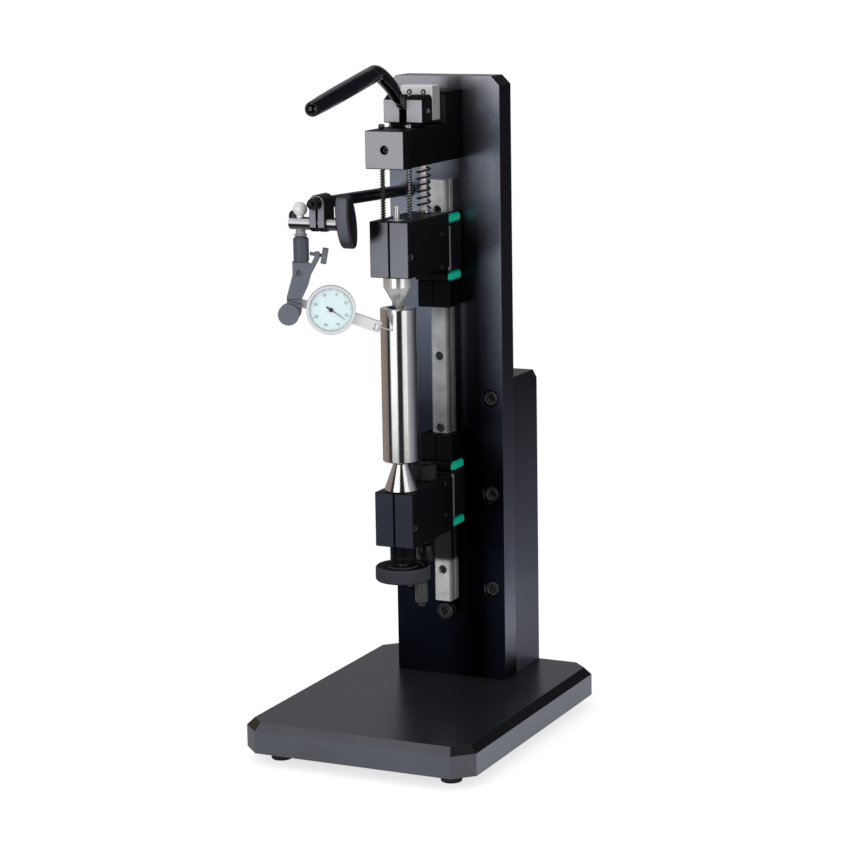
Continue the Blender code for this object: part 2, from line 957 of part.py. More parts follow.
def make_upper_carriage(slide):
    holder, screw = make_holder("upper", upper_holder_z, holder_bore)
    low, _ = make_bearing("upper", upper_holder_z - upper_bearing_drop, slide)
    collar_low = upper_holder_z - gap - upper_collar_length
    cone_tip = collar_low - cone_drop(upper_collar, center_point_flat, upper_cone_half_angle_deg)
    profile = [
        (0, upper_holder_top + upper_tail_stand),
        (upper_tail, upper_holder_top + upper_tail_stand),
        (upper_tail, upper_holder_top),
        (holder_bore, upper_holder_top),
        (holder_bore, upper_holder_z - gap),
        (upper_collar, upper_holder_z - gap),
        (upper_collar, collar_low),
        (center_point_flat, cone_tip),
        (0, cone_tip),
    ]
    center = turned("upper_center", profile, (0, axis_y, 0), sides=fine_sides)
    paint(center, polished_steel)
    carry(slide, holder, screw, center)
    clamp = make_rail_clamp("upper_rail_clamp", low - gap - rail_clamp_length)

    pieces = []
    for side, sign in (("left", -1), ("right", 1)):
        x = sign * guide_rod_spread / 2
        foot = upper_holder_top - guide_rod_bite
        seat = head_top + gap
        cut(
            holder,
            rod(
                f"guide_socket_{side}",
                guide_rod + 2 * gap,
                (x, axis_y, foot - gap),
                (x, axis_y, upper_holder_top + overrun),
                small_sides,
            ),
        )
        profile = [
            (0, seat + guide_head_length),
            (guide_head, seat + guide_head_length),
            (guide_head, seat),
            (guide_rod, seat),
            (guide_rod, foot),
            (0, foot),
        ]
        guide = turned(f"guide_rod_{side}", profile, (x, axis_y, 0), sides=small_sides)
        pieces.append(paint(guide, polished_steel))
    foot = upper_holder_top - lift_rod_bite
    cut(
        holder,
        rod(
            "lift_socket",
            lift_rod + 2 * gap,
            (0, lift_rod_y, foot - gap),
            (0, lift_rod_y, upper_holder_top + overrun),
            small_sides,
        ),
    )
    lift_top = lift_block_bottom + lift_block_rod_depth
    lift = rod("lift_rod", lift_rod, (0, lift_rod_y, foot), (0, lift_rod_y, lift_top))
    pieces.append(paint(lift, polished_steel))
    washer_profile = [
        (lift_washer, lift_washer_thickness),
        (lift_washer, 0),
        (lift_rod + 2 * gap, 0),
        (lift_rod + 2 * gap, lift_washer_thickness),
    ]
    washer = turned(
        "lift_spring_washer",
        washer_profile,
        (0, lift_rod_y, upper_holder_top + gap),
        closed=True,
    )
    pieces.append(paint(washer, brushed_steel))

    half = lift_block_width / 2
    back = lift_block_front + lift_block_depth
    lift_block = block(
        "lift_block",
        (-half, lift_block_front, lift_block_bottom),
        (half, back, lift_block_bottom + lift_block_height),
    )
    soften(lift_block, lift_block_edge_cut)
    cut(
        lift_block,
        rod(
            "lift_block_bore",
            lift_rod + 2 * gap,
            (0, lift_rod_y, lift_block_bottom - overrun),
            (0, lift_rod_y, lift_top + gap),
            small_sides,
        ),
    )
    pieces.append(paint(lift_block, brushed_steel))
    carry(slide, *pieces)
    return clamp


def helix(middle, diameter, wire_diameter, turns, low, high):
    """Points of an open coil whose ends stand straight up and down for one wire's width."""
    radius = (diameter - wire_diameter) / 2
    first, last = low + wire_diameter, high - wire_diameter
    count = turns * spring_points_per_turn
    points = [(middle[0] + radius, middle[1], low)]
    for index in range(count + 1):
        share = index / count
        angle = 2 * math.pi * turns * share
        points.append(
            (
                middle[0] + radius * math.cos(angle),
                middle[1] + radius * math.sin(angle),
                first + (last - first) * share,
            )
        )
    points.append((middle[0] + radius, middle[1], high))
    return points


def least_gap(points, wire_diameter):
    """The smallest clear distance between two turns."""
    apart = spring_points_per_turn // 2
    vectors = [Vector(p) for p in points]
    return min(
        (a - b).length - wire_diameter
        for i, a in enumerate(vectors)
        for b in vectors[i + apart : i + 2 * spring_points_per_turn]
    )


def make_springs():
    low, high = upper_holder_top + gap, head_bottom - gap
    for side, sign in (("left", -1), ("right", 1)):
        points = helix(
            (sign * guide_rod_spread / 2, axis_y),
            guide_spring_diameter,
            guide_spring_wire,
            guide_spring_turns,
            low,
            high,
        )
        spring = wire(f"guide_spring_{side}", points, guide_spring_wire)
        paint(spring, black_oxide)
        print(spring.name, "least gap", round(least_gap(points, guide_spring_wire), 6))
    points = helix(
        (0, lift_rod_y),
        lift_spring_diameter,
        lift_spring_wire,
        lift_spring_turns,
        low + lift_washer_thickness + gap,
        high,
    )
    spring = wire("lift_spring", points, lift_spring_wire)
    paint(spring, black_oxide)
    print(spring.name, "least gap", round(least_gap(points, lift_spring_wire), 6))


def make_head():
    riser_front = column_front - head_riser_depth
    back = column_front - gap
    corner = (riser_front + head_riser_round, head_riser_top - head_riser_round)
    outline = [(head_front, head_bottom), (back, head_bottom), (back, head_riser_top)]
    outline += arc(corner, head_riser_round, 90, 180)
    outline += [(riser_front, head_top), (head_front, head_top)]
    arm = plate("head_arm", outline, head_arm_width, (0, 0, 0), side_on)
    soften(arm, head_edge_cut, limit_deg=60)
    for side, sign in (("left", -1), ("right", 1)):
        x = sign * guide_rod_spread / 2
        cut(
            arm,
            rod(
                f"guide_hole_{side}",
                guide_rod + 2 * guide_hole_clearance,
                (x, axis_y, head_bottom - overrun),
                (x, axis_y, head_top + overrun),
                small_sides,
            ),
        )
    set_z = (head_bottom + head_top) / 2
    cut(
        arm,
        rod(
            "lift_hole",
            lift_rod + 2 * guide_hole_clearance,
            (0, lift_rod_y, head_bottom - overrun),
            (0, lift_rod_y, head_top + overrun),
            small_sides,
        ),
        rod(
            "set_screw_hole",
            head_set_hole,
            (0, head_front - overrun, set_z),
            (0, head_front + head_set_hole_depth, set_z),
            small_sides,
        ),
    )
    paint(arm, black_anodised)
    screw_front = head_front + head_set_screw_sink
    screw = rod(
        "head_set_screw",
        head_set_hole - 2 * gap,
        (0, screw_front, set_z),
        (0, screw_front + head_set_screw_length, set_z),
        small_sides,
    )
    cut(
        screw,
        rod(
            "head_set_screw_hexagon",
            head_set_screw_socket,
            (0, screw_front - overrun, set_z),
            (0, screw_front + head_set_screw_length / 2, set_z),
            6,
        ),
    )
    paint(screw, black_oxide)

    front = axis_y + bracket_setback
    rear = front + bracket_depth
    low = head_top + bracket_foot_height
    high = low + bracket_height
    back_round = (rear - bracket_back_round, high - bracket_back_round)
    side_outline = [(front, low), (rear, low)]
    side_outline += arc(back_round, bracket_back_round, 0, 90)
    side_outline += [
        (front + bracket_slope_run, high),
        (front, high - bracket_slope_drop),
    ]
    bracket = plate("lever_bracket", side_outline, bracket_width, (0, 0, 0), side_on)
    soften(bracket, bracket_side_cut, limit_deg=60)
    foot_front = front + bracket_foot_inset
    foot_half = bracket_width / 2 - bracket_foot_inset
    join(
        bracket,
        block(
            "lever_bracket_foot",
            (-foot_half, foot_front, head_top + gap),
            (foot_half, foot_front + bracket_foot_depth, low + bracket_side_cut + overrun),
        ),
    )
    half_slot = bracket_slot / 2
    half_width = bracket_width / 2 + overrun
    cut(
        bracket,
        block(
            "lever_bracket_slot",
            (-half_slot, front - overrun, low + gap),
            (half_slot, rear + overrun, high + overrun),
        ),
        block(
            "lever_bracket_tail_slot",
            (-half_slot, foot_front + bracket_web, head_top - overrun),
            (half_slot, rear + overrun, high),
        ),
        rod(
            "lever_bracket_bore",
            lever_pin + 2 * gap,
            (-half_width, lever_pivot.y, lever_pivot.z),
            (half_width, lever_pivot.y, lever_pivot.z),
            small_sides,
        ),
    )
    paint(bracket, black_anodised)
    pin_half = bracket_width / 2 - gap
    pin = rod(
        "lever_pin",
        lever_pin,
        (-pin_half, lever_pivot.y, lever_pivot.z),
        (pin_half, lever_pivot.y, lever_pivot.z),
        small_sides,
    )
    paint(pin, polished_steel)


def make_lever(turn_axis):
    """The lever: a flat tongue round the pin with a tail under the lift block, a neck and a grip."""
    y, z = lever_pivot.y, lever_pivot.z
    half_tail = lever_tail_thickness / 2
    tail_end = (y + lever_tail_reach, z - lever_tail_drop)
    tail_elbow = (y + lever_tail_elbow, z - lever_tail_drop)
    hub = lever_hub / 2
    neck_start = Vector((y - lever_bend_reach * 0.27, z + lever_bend_rise * 0.25))
    outline = arc((y, z), hub, 60, -20)
    outline += [(tail_elbow[0] + half_tail, tail_elbow[1] + half_tail)]
    outline += arc(tail_end, half_tail, 90, -90)
    outline += [(tail_elbow[0] - half_tail, tail_elbow[1] - half_tail)]
    outline += arc((y, z), hub, 230, 205, 4)
    outline += [
        (neck_start.x - half_tail, neck_start.y - half_tail * 2),
        (neck_start.x - half_tail * 3, neck_start.y + half_tail),
        (neck_start.x - half_tail, neck_start.y + half_tail * 3),
    ]
    arm = plate("lever_arm", outline, lever_tongue, (0, 0, 0), side_on)
    cut(
        arm,
        rod(
            "lever_bore",
            lever_pin + 2 * gap,
            (-lever_tongue, y, z),
            (lever_tongue, y, z),
            small_sides,
        ),
    )
    bend = Vector((0, y - lever_bend_reach, z + lever_bend_rise))
    slope = math.radians(lever_grip_slope_deg)
    along = Vector((0, -math.cos(slope), math.sin(slope)))
    grip_start = bend + along * lever_neck_radius
    neck_shares = [
        (0.24, 0.22, 0.55),
        (0.34, 0.36, 0.80),
        (0.50, 0.60, 0.95),
        (0.68, 0.79, 0.98),
        (0.86, 0.94, 1.00),
        (1.00, 1.00, 1.05),
    ]
    path = [
        (0, y - lever_bend_reach * run, z + lever_bend_rise * rise) for run, rise, _ in neck_shares
    ]
    radii = [share for _, _, share in neck_shares]
    rod_share = lever_rod / 2 / lever_neck_radius
    path += [tuple(grip_start + along * reach) for reach in (0, gap, lever_rod_length)]
    radii += [lever_grip_diameter / 2 / lever_neck_radius, rod_share, rod_share]
    join(arm, wire("lever_neck", path, 2 * lever_neck_radius, radii, resolution=3))
    paint(arm, black_gloss)
    tip_round = lever_grip_diameter / 2
    grip_from = 2 * gap
    dome = [
        (2 * tip_round * math.cos(a), lever_grip_length - tip_round + tip_round * math.sin(a))
        for a in (math.pi / 2 * (1 - i / arc_steps) for i in range(arc_steps + 1))
    ]
    profile = [(0, dome[0][1])] + dome[1:] + [
        (lever_grip_diameter, grip_from),
        (lever_grip_bore, grip_from),
        (lever_grip_bore, lever_rod_length + gap),
        (0, lever_rod_length + gap),
    ]
    grip = turned("lever_grip", profile, grip_start, along)
    paint(grip, black_gloss)
    carry(turn_axis, arm, grip)


def make_lower_carriage(slide):
    holder, screw = make_holder("lower", lower_holder_z, holder_bore)
    _, bearing_high = make_bearing("lower", lower_holder_z + lower_bearing_rise, slide)
    clamp = make_rail_clamp("lower_rail_clamp", bearing_high + gap)
    lock_y = axis_y + holder_lock_setback
    cut(
        holder,
        rod(
            "holder_lock_hole",
            holder_lock_shaft + 2 * gap,
            (0, lock_y, lower_holder_z - overrun),
            (0, lock_y, lower_holder_top + overrun),
            small_sides,
        ),
    )
    carry(slide, holder, screw, clamp)

    nut_low = lower_holder_top + gap
    nut_high = nut_low + holder_lock_nut_height
    knob_high = lower_holder_z - holder_lock_knob_drop
    knob_low = knob_high - holder_lock_knob_height
    cut_size = 2 * holder_lock_edge_cut
    profile = [
        (0, nut_high),
        (holder_lock_nut - cut_size, nut_high),
        (holder_lock_nut, nut_high - holder_lock_edge_cut),
        (holder_lock_nut, nut_low),
        (holder_lock_shaft, nut_low),
        (holder_lock_shaft, knob_high),
        (holder_lock_knob - cut_size, knob_high),
        (holder_lock_knob, knob_high - holder_lock_edge_cut),
        (holder_lock_knob, knob_low + 2 * holder_lock_edge_cut),
        (holder_lock_knob - 2 * cut_size, knob_low),
        (0, knob_low),
    ]
    lock = turned("holder_lock_screw", profile, (0, lock_y, 0))
    paint(lock, black_oxide)
    axis = joint("holder_lock_axis", (0, lock_y, nut_low), UP, slide)
    carry(axis, lock)


def make_spindle(spin):
    """The lower center with its drive collar and handwheel, and the test cylinder on it."""
    shank_low = lower_holder_z - lower_shank_below
    wheel_top = shank_low - gap
    wheel_low = wheel_top - wheel_thickness
    mandrel_cone = cone_drop(lower_cone_base, center_point_flat, lower_cone_half_angle_deg)
    profile = [
        (0, lower_cone_start + mandrel_cone * 0.92),
        (lower_cone_base * 0.08, lower_cone_start + mandrel_cone * 0.92),
        (lower_cone_base, lower_cone_start),
        (lower_cone_base, lower_cone_low),
        (holder_bore, lower_cone_low),
        (holder_bore, shank_low),
        (wheel_hub / 2, shank_low),
        (wheel_hub / 2, wheel_low + wheel_thickness / 2),
        (0, wheel_low + wheel_thickness / 2),
    ]
    center = turned("lower_center", profile, (0, axis_y, 0), sides=fine_sides)
    paint(center, polished_steel)

    collar_high = lower_holder_z - gap
    ring = drive_collar - 2 * drive_collar_edge_cut
    bore = holder_bore + 2 * gap
    collar_profile = [
        (ring, collar_high),
        (drive_collar, collar_high - drive_collar_edge_cut),
        (drive_collar, collar_high - drive_collar_length),
        (bore, collar_high - drive_collar_length),
        (bore, collar_high),
    ]
    collar = turned("drive_collar", collar_profile, (0, axis_y, 0), closed=True)
    paint(collar, black_oxide)

    cut_size = 2 * wheel_edge_cut
    hub_bore = wheel_hub / 2 + 2 * gap
    wheel_profile = [
        (wheel_diameter - cut_size, wheel_top),
        (wheel_diameter, wheel_top - wheel_edge_cut),
        (wheel_diameter, wheel_low + wheel_edge_cut),
        (wheel_diameter - cut_size, wheel_low),
        (hub_bore, wheel_low),
        (hub_bore, wheel_top),
    ]
    wheel = turned("handwheel", wheel_profile, (0, axis_y, 0), sides=fine_sides, closed=True)
    turn = math.radians(crank_turn_deg)
    crank = Vector((crank_radius * math.cos(turn), axis_y + crank_radius * math.sin(turn), 0))
    grip_top = wheel_low - gap
    grip_low = grip_top - crank_grip_length
    stud_low = grip_low - gap
    head_low = stud_low - crank_head_length
    join(
        wheel,
        rod(
            "crank_stud",
            crank_stud,
            (crank.x, crank.y, head_low),
            (crank.x, crank.y, wheel_low + wheel_thickness / 2),
            small_sides,
        ),
        rod(
            "crank_stud_head",
            crank_head,
            (crank.x, crank.y, head_low - crank_head_length / 2),
            (crank.x, crank.y, stud_low),
            small_sides,
        ),
    )
    paint(wheel, black_anodised)
    edge = 2 * crank_grip_edge_cut
    grip_bore = crank_stud + 2 * gap
    grip_profile = [
        (crank_grip_diameter - edge, grip_top),
        (crank_grip_diameter, grip_top - crank_grip_edge_cut),
        (crank_grip_diameter, grip_low + crank_grip_edge_cut),
        (crank_grip_diameter - edge, grip_low),
        (grip_bore, grip_low),
        (grip_bore, grip_top),
    ]
    grip = turned("crank_grip", grip_profile, (crank.x, crank.y, 0), closed=True)
    paint(grip, black_gloss)

    edge = 2 * mandrel_edge_cut
    upper_hole_drop = cone_drop(upper_collar, center_point_flat, upper_cone_half_angle_deg)
    upper_tip = upper_holder_z - gap - upper_collar_length - upper_hole_drop
    upper_slope = math.tan(math.radians(upper_cone_half_angle_deg))
    lower_slope = math.tan(math.radians(lower_cone_half_angle_deg))
    sink = max(mandrel_top - upper_tip + gap, gap)
    top_hole = 2 * (sink * upper_slope + gap) + center_point_flat
    bottom_hole = lower_cone_base - 2 * (mandrel_seat - lower_cone_rim) * lower_slope + 4 * gap
    bottom_sink = mandrel_cone - mandrel_seat + lower_cone_rim + gap
    profile = [
        (0, mandrel_top - sink - gap),
        (top_hole, mandrel_top),
        (mandrel_diameter - edge, mandrel_top),
        (mandrel_diameter, mandrel_top - mandrel_edge_cut),
        (mandrel_diameter, mandrel_bottom + mandrel_edge_cut),
        (mandrel_diameter - edge, mandrel_bottom),
        (bottom_hole, mandrel_bottom),
        (0, mandrel_bottom + bottom_sink + 2 * gap),
    ]
    mandrel = turned("test_mandrel", profile, (0, axis_y, 0), sides=fine_sides)
    paint(mandrel, polished_steel)
    carry(spin, center, collar, wheel, mandrel)
    crank_axis = joint("crank_axis", (crank.x, crank.y, grip_low), UP, spin)
    carry(crank_axis, grip)


def ball_points(diameter, from_deg, to_deg, middle):
    """(diameter, height) pairs along a ball's outline, from one latitude to another."""
    latitudes = [
        math.radians(from_deg + (to_deg - from_deg) * i / arc_steps) for i in range(arc_steps + 1)
    ]
    return [(diameter * math.cos(a), middle + diameter / 2 * math.sin(a)) for a in latitudes]


root = Vector((arm_root_x, column_front, arm_root_z))
root_ball_at = root - BACK * root_ball_stand
arm_front = Vector((arm_root_x, column_front - arm_front_reach, root.z + arm_rise))
arm_along = (arm_front - root_ball_at).normalized()
block_front = arm_front.y
block_back = block_front + clamp_block_depth
shaft_y = block_front + clamp_block_shaft_inset
shaft_z = arm_front.z - cross_shaft_drop
shaft_left = arm_root_x - cross_shaft_left
shaft_right = arm_root_x + cross_shaft_right
swivel_x = shaft_left + swivel_inset


def make_arm(swing, block_turn, shaft_turn, paddle_turn):
    stud_profile = [(0, root_ball_stand + root_ball / 2)]
    stud_profile += ball_points(root_ball, 80, -55, root_ball_stand)
    stud_profile += [
        (root_neck, root_flange_thickness + gap),
        (root_flange, root_flange_thickness + gap),
        (root_flange, gap),
        (root_neck, gap),
        (root_neck, -root_stud_bite),
        (0, -root_stud_bite),
    ]
    stud = turned("arm_root_stud", stud_profile, root, -BACK, small_sides)
    paint(stud, polished_steel)

    start = root_ball_at - arm_along * arm_rod_tail
    nose_end = arm_front - BACK * arm_nose_stand
    arm_rod = rod("arm_rod", arm_rod_diameter, start, nose_end)
    join(
        arm_rod,
        rod(
            "arm_rod_tip",
            arm_tip_diameter,
            nose_end + BACK * overrun,
            nose_end - BACK * arm_tip_length,
            small_sides,
        ),
    )
    mouth = root_neck + 2 * root_mouth_clearance
    cut(
        arm_rod,
        ball("arm_rod_socket", root_ball + 2 * gap, root_ball_at),
        rod(
            "arm_rod_mouth",
            mouth,
            root_ball_at,
            start - arm_along * overrun,
            small_sides,
            mouth + 2 * root_mouth_clearance,
        ),
    )
    paint(arm_rod, black_anodised)
    carry(swing, arm_rod)

    half = clamp_block_width / 2
    low = arm_front.z - clamp_block_bottom_drop
    middle_z = arm_front.z
    outline = [(arm_root_x - half, low), (arm_root_x + half, low)]
    outline += arc((arm_root_x, middle_z), half, 0, 180)
    clamp_block = plate(
        "arm_clamp_block", outline, clamp_block_depth, (0, (block_front + block_back) / 2, 0), face_on
    )
    soften(clamp_block, head_edge_cut, limit_deg=60)
    half_shaft = cross_shaft_diameter / 2
    cut(
        clamp_block,
        rod(
            "arm_block_bore",
            arm_rod_diameter + 2 * gap,
            arm_front - arm_along * (2 * clamp_block_depth),
            arm_front + arm_along * overrun * 2,
        ),
        rod(
            "arm_block_cross_bore",
            cross_shaft_diameter + 2 * gap,
            (arm_root_x - clamp_block_width, shaft_y, shaft_z),
            (arm_root_x + clamp_block_width, shaft_y, shaft_z),
        ),
        block(
            "arm_block_slit",
            (arm_root_x - clamp_block_slit / 2, block_front - overrun, low - overrun),
            (arm_root_x + clamp_block_slit / 2, block_back + overrun, arm_front.z),
        ),
        *[
            plate(
                f"arm_block_{end}_corner",
                [
                    (edge - inward * overrun, low - overrun),
                    (edge + inward * (clamp_block_edge_cut + overrun), low - overrun),
                    (edge - inward * overrun, low + clamp_block_edge_cut + overrun),
                ],
                clamp_block_width * 2,
                (arm_root_x, 0, 0),
                side_on,
            )
            for end, edge, inward in (("front", block_front, 1), ("back", block_back, -1))
        ],
    )
    paint(clamp_block, black_anodised)
    carry(block_turn, clamp_block)

    shaft = rod(
        "cross_shaft",
        cross_shaft_diameter,
        (shaft_left, shaft_y, shaft_z),
        (shaft_right, shaft_y, shaft_z),
    )
    lug_top = shaft_z + cross_shaft_lug_rise
    lug_round = cross_shaft_lug_width * 0.9
    lug = [(shaft_left, shaft_z), (shaft_left + cross_shaft_lug_width, shaft_z)]
    lug += [(shaft_left + cross_shaft_lug_width, lug_top)]
    lug += arc((shaft_left + lug_round, lug_top - lug_round), lug_round, 90, 180)
    join(
        shaft,
        rod(
            "cross_shaft_stud",
            cross_shaft_stud,
            (shaft_right - overrun, shaft_y, shaft_z),
            (shaft_right + paddle_stud_bite, shaft_y, shaft_z),
            small_sides,
        ),
        plate("cross_shaft_lug", lug, cross_shaft_lug_depth, (0, shaft_y, 0), face_on),
    )
    cut(
        shaft,
        rod(
            "cross_shaft_bore",
            swivel_stem + 2 * gap,
            (swivel_x, shaft_y, shaft_z - half_shaft - overrun),
            (swivel_x, shaft_y, shaft_z + half_shaft + overrun),
            small_sides,
        ),
        ball(
            "cross_shaft_seat",
            swivel_ball + 2 * gap,
            (swivel_x, shaft_y, shaft_z + swivel_ball_rise),
        ),
    )
    paint(shaft, black_oxide)
    carry(shaft_turn, shaft)

    tilt = math.radians(paddle_turn_deg)
    outline = []
    for step in range(round_sides):
        angle = 2 * math.pi * step / round_sides
        along = paddle_length / 2 * math.sin(angle)
        across = paddle_width / 2 * math.copysign(abs(math.cos(angle)) ** 0.8, math.cos(angle))
        outline.append(
            (
                across * math.cos(tilt) - along * math.sin(tilt),
                across * math.sin(tilt) + along * math.cos(tilt),
            )
        )
    paddle_left = shaft_right + gap
    paddle = plate(
        "arm_lock_paddle",
        outline,
        paddle_thickness,
        (paddle_left + paddle_thickness / 2, shaft_y, shaft_z),
        side_on,
    )
    soften(paddle, paddle_edge_round, 2, 60)
    cut(
        paddle,
        rod(
            "paddle_bore",
            cross_shaft_stud + 2 * gap,
            (paddle_left - overrun, shaft_y, shaft_z),
            (shaft_right + paddle_stud_bite + gap, shaft_y, shaft_z),
            small_sides,
        ),
    )
    paint(paddle, black_anodised)
    carry(paddle_turn, paddle)


# The indicator hangs from the swivel in a plane turned towards the side
swivel_frame = Matrix.Translation((swivel_x, shaft_y, 0)) @ Matrix.Rotation(
    math.radians(indicator_turn_deg), 4, "Z"
)
neck_top = shaft_z - cross_shaft_diameter / 2 - gap
flange_low = neck_top - swivel_neck_length
barrel_top = flange_low - gap
barrel_low = barrel_top - barrel_length
fine_top = barrel_low - gap
fine_pivot_z = fine_top - fine_pivot_drop
dial_z = fine_top - dial_center_drop
clamp_z = fine_top - clamp_center_drop
indicator_frame = (
    swivel_frame
    @ Matrix.Translation((dial_center_across, 0, dial_z))
    @ Matrix.Rotation(math.radians(-indicator_slope_deg), 4, "Y")
)


def make_swivel(turn_axis):
    ball_z = shaft_z + swivel_ball_rise
    profile = [(0, ball_z + swivel_ball / 2)]
    profile += ball_points(swivel_ball, 80, -55, ball_z)
    profile += [
        (swivel_stem, shaft_z + cross_shaft_diameter / 2),
        (swivel_stem, neck_top),
        (swivel_neck, neck_top),
        (swivel_neck, flange_low + swivel_flange_thickness),
        (swivel_flange, flange_low + swivel_flange_thickness),
        (swivel_flange, flange_low),
        (swivel_thread, flange_low),
        (swivel_thread, flange_low - swivel_thread_length),
        (0, flange_low - swivel_thread_length),
    ]
    swivel = turned("swivel_ball_stud", profile, (swivel_x, shaft_y, 0), sides=small_sides)
    paint(swivel, polished_steel)
    bore = swivel_thread + 2 * gap
    bore_low = flange_low - swivel_thread_length - gap
    profile = [
        (barrel_neck, barrel_top),
        (barrel_diameter, barrel_top - barrel_taper),
        (barrel_diameter, barrel_low),
        (0, barrel_low),
        (0, bore_low),
        (bore, bore_low),
        (bore, barrel_top),
    ]
    barrel = turned("swivel_barrel", profile, (swivel_x, shaft_y, 0), closed=True)
    half = barrel_tongue_thickness / 2
    left = fine_pivot_across - barrel_tongue_width / 2
    tongue = block(
        "barrel_tongue",
        (left, -half, barrel_low - barrel_tongue_length),
        (left + barrel_tongue_width, half, barrel_low + overrun),
        swivel_frame,
    )
    join(barrel, tongue)
    cut(
        barrel,
        rod(
            "barrel_pivot_bore",
            fine_pivot_diameter + 2 * gap,
            (fine_pivot_across, -fine_thickness, fine_pivot_z),
            (fine_pivot_across, fine_thickness, fine_pivot_z),
            small_sides,
            frame=swivel_frame,
        ),
    )
    paint(barrel, black_anodised)
    carry(turn_axis, swivel, barrel)


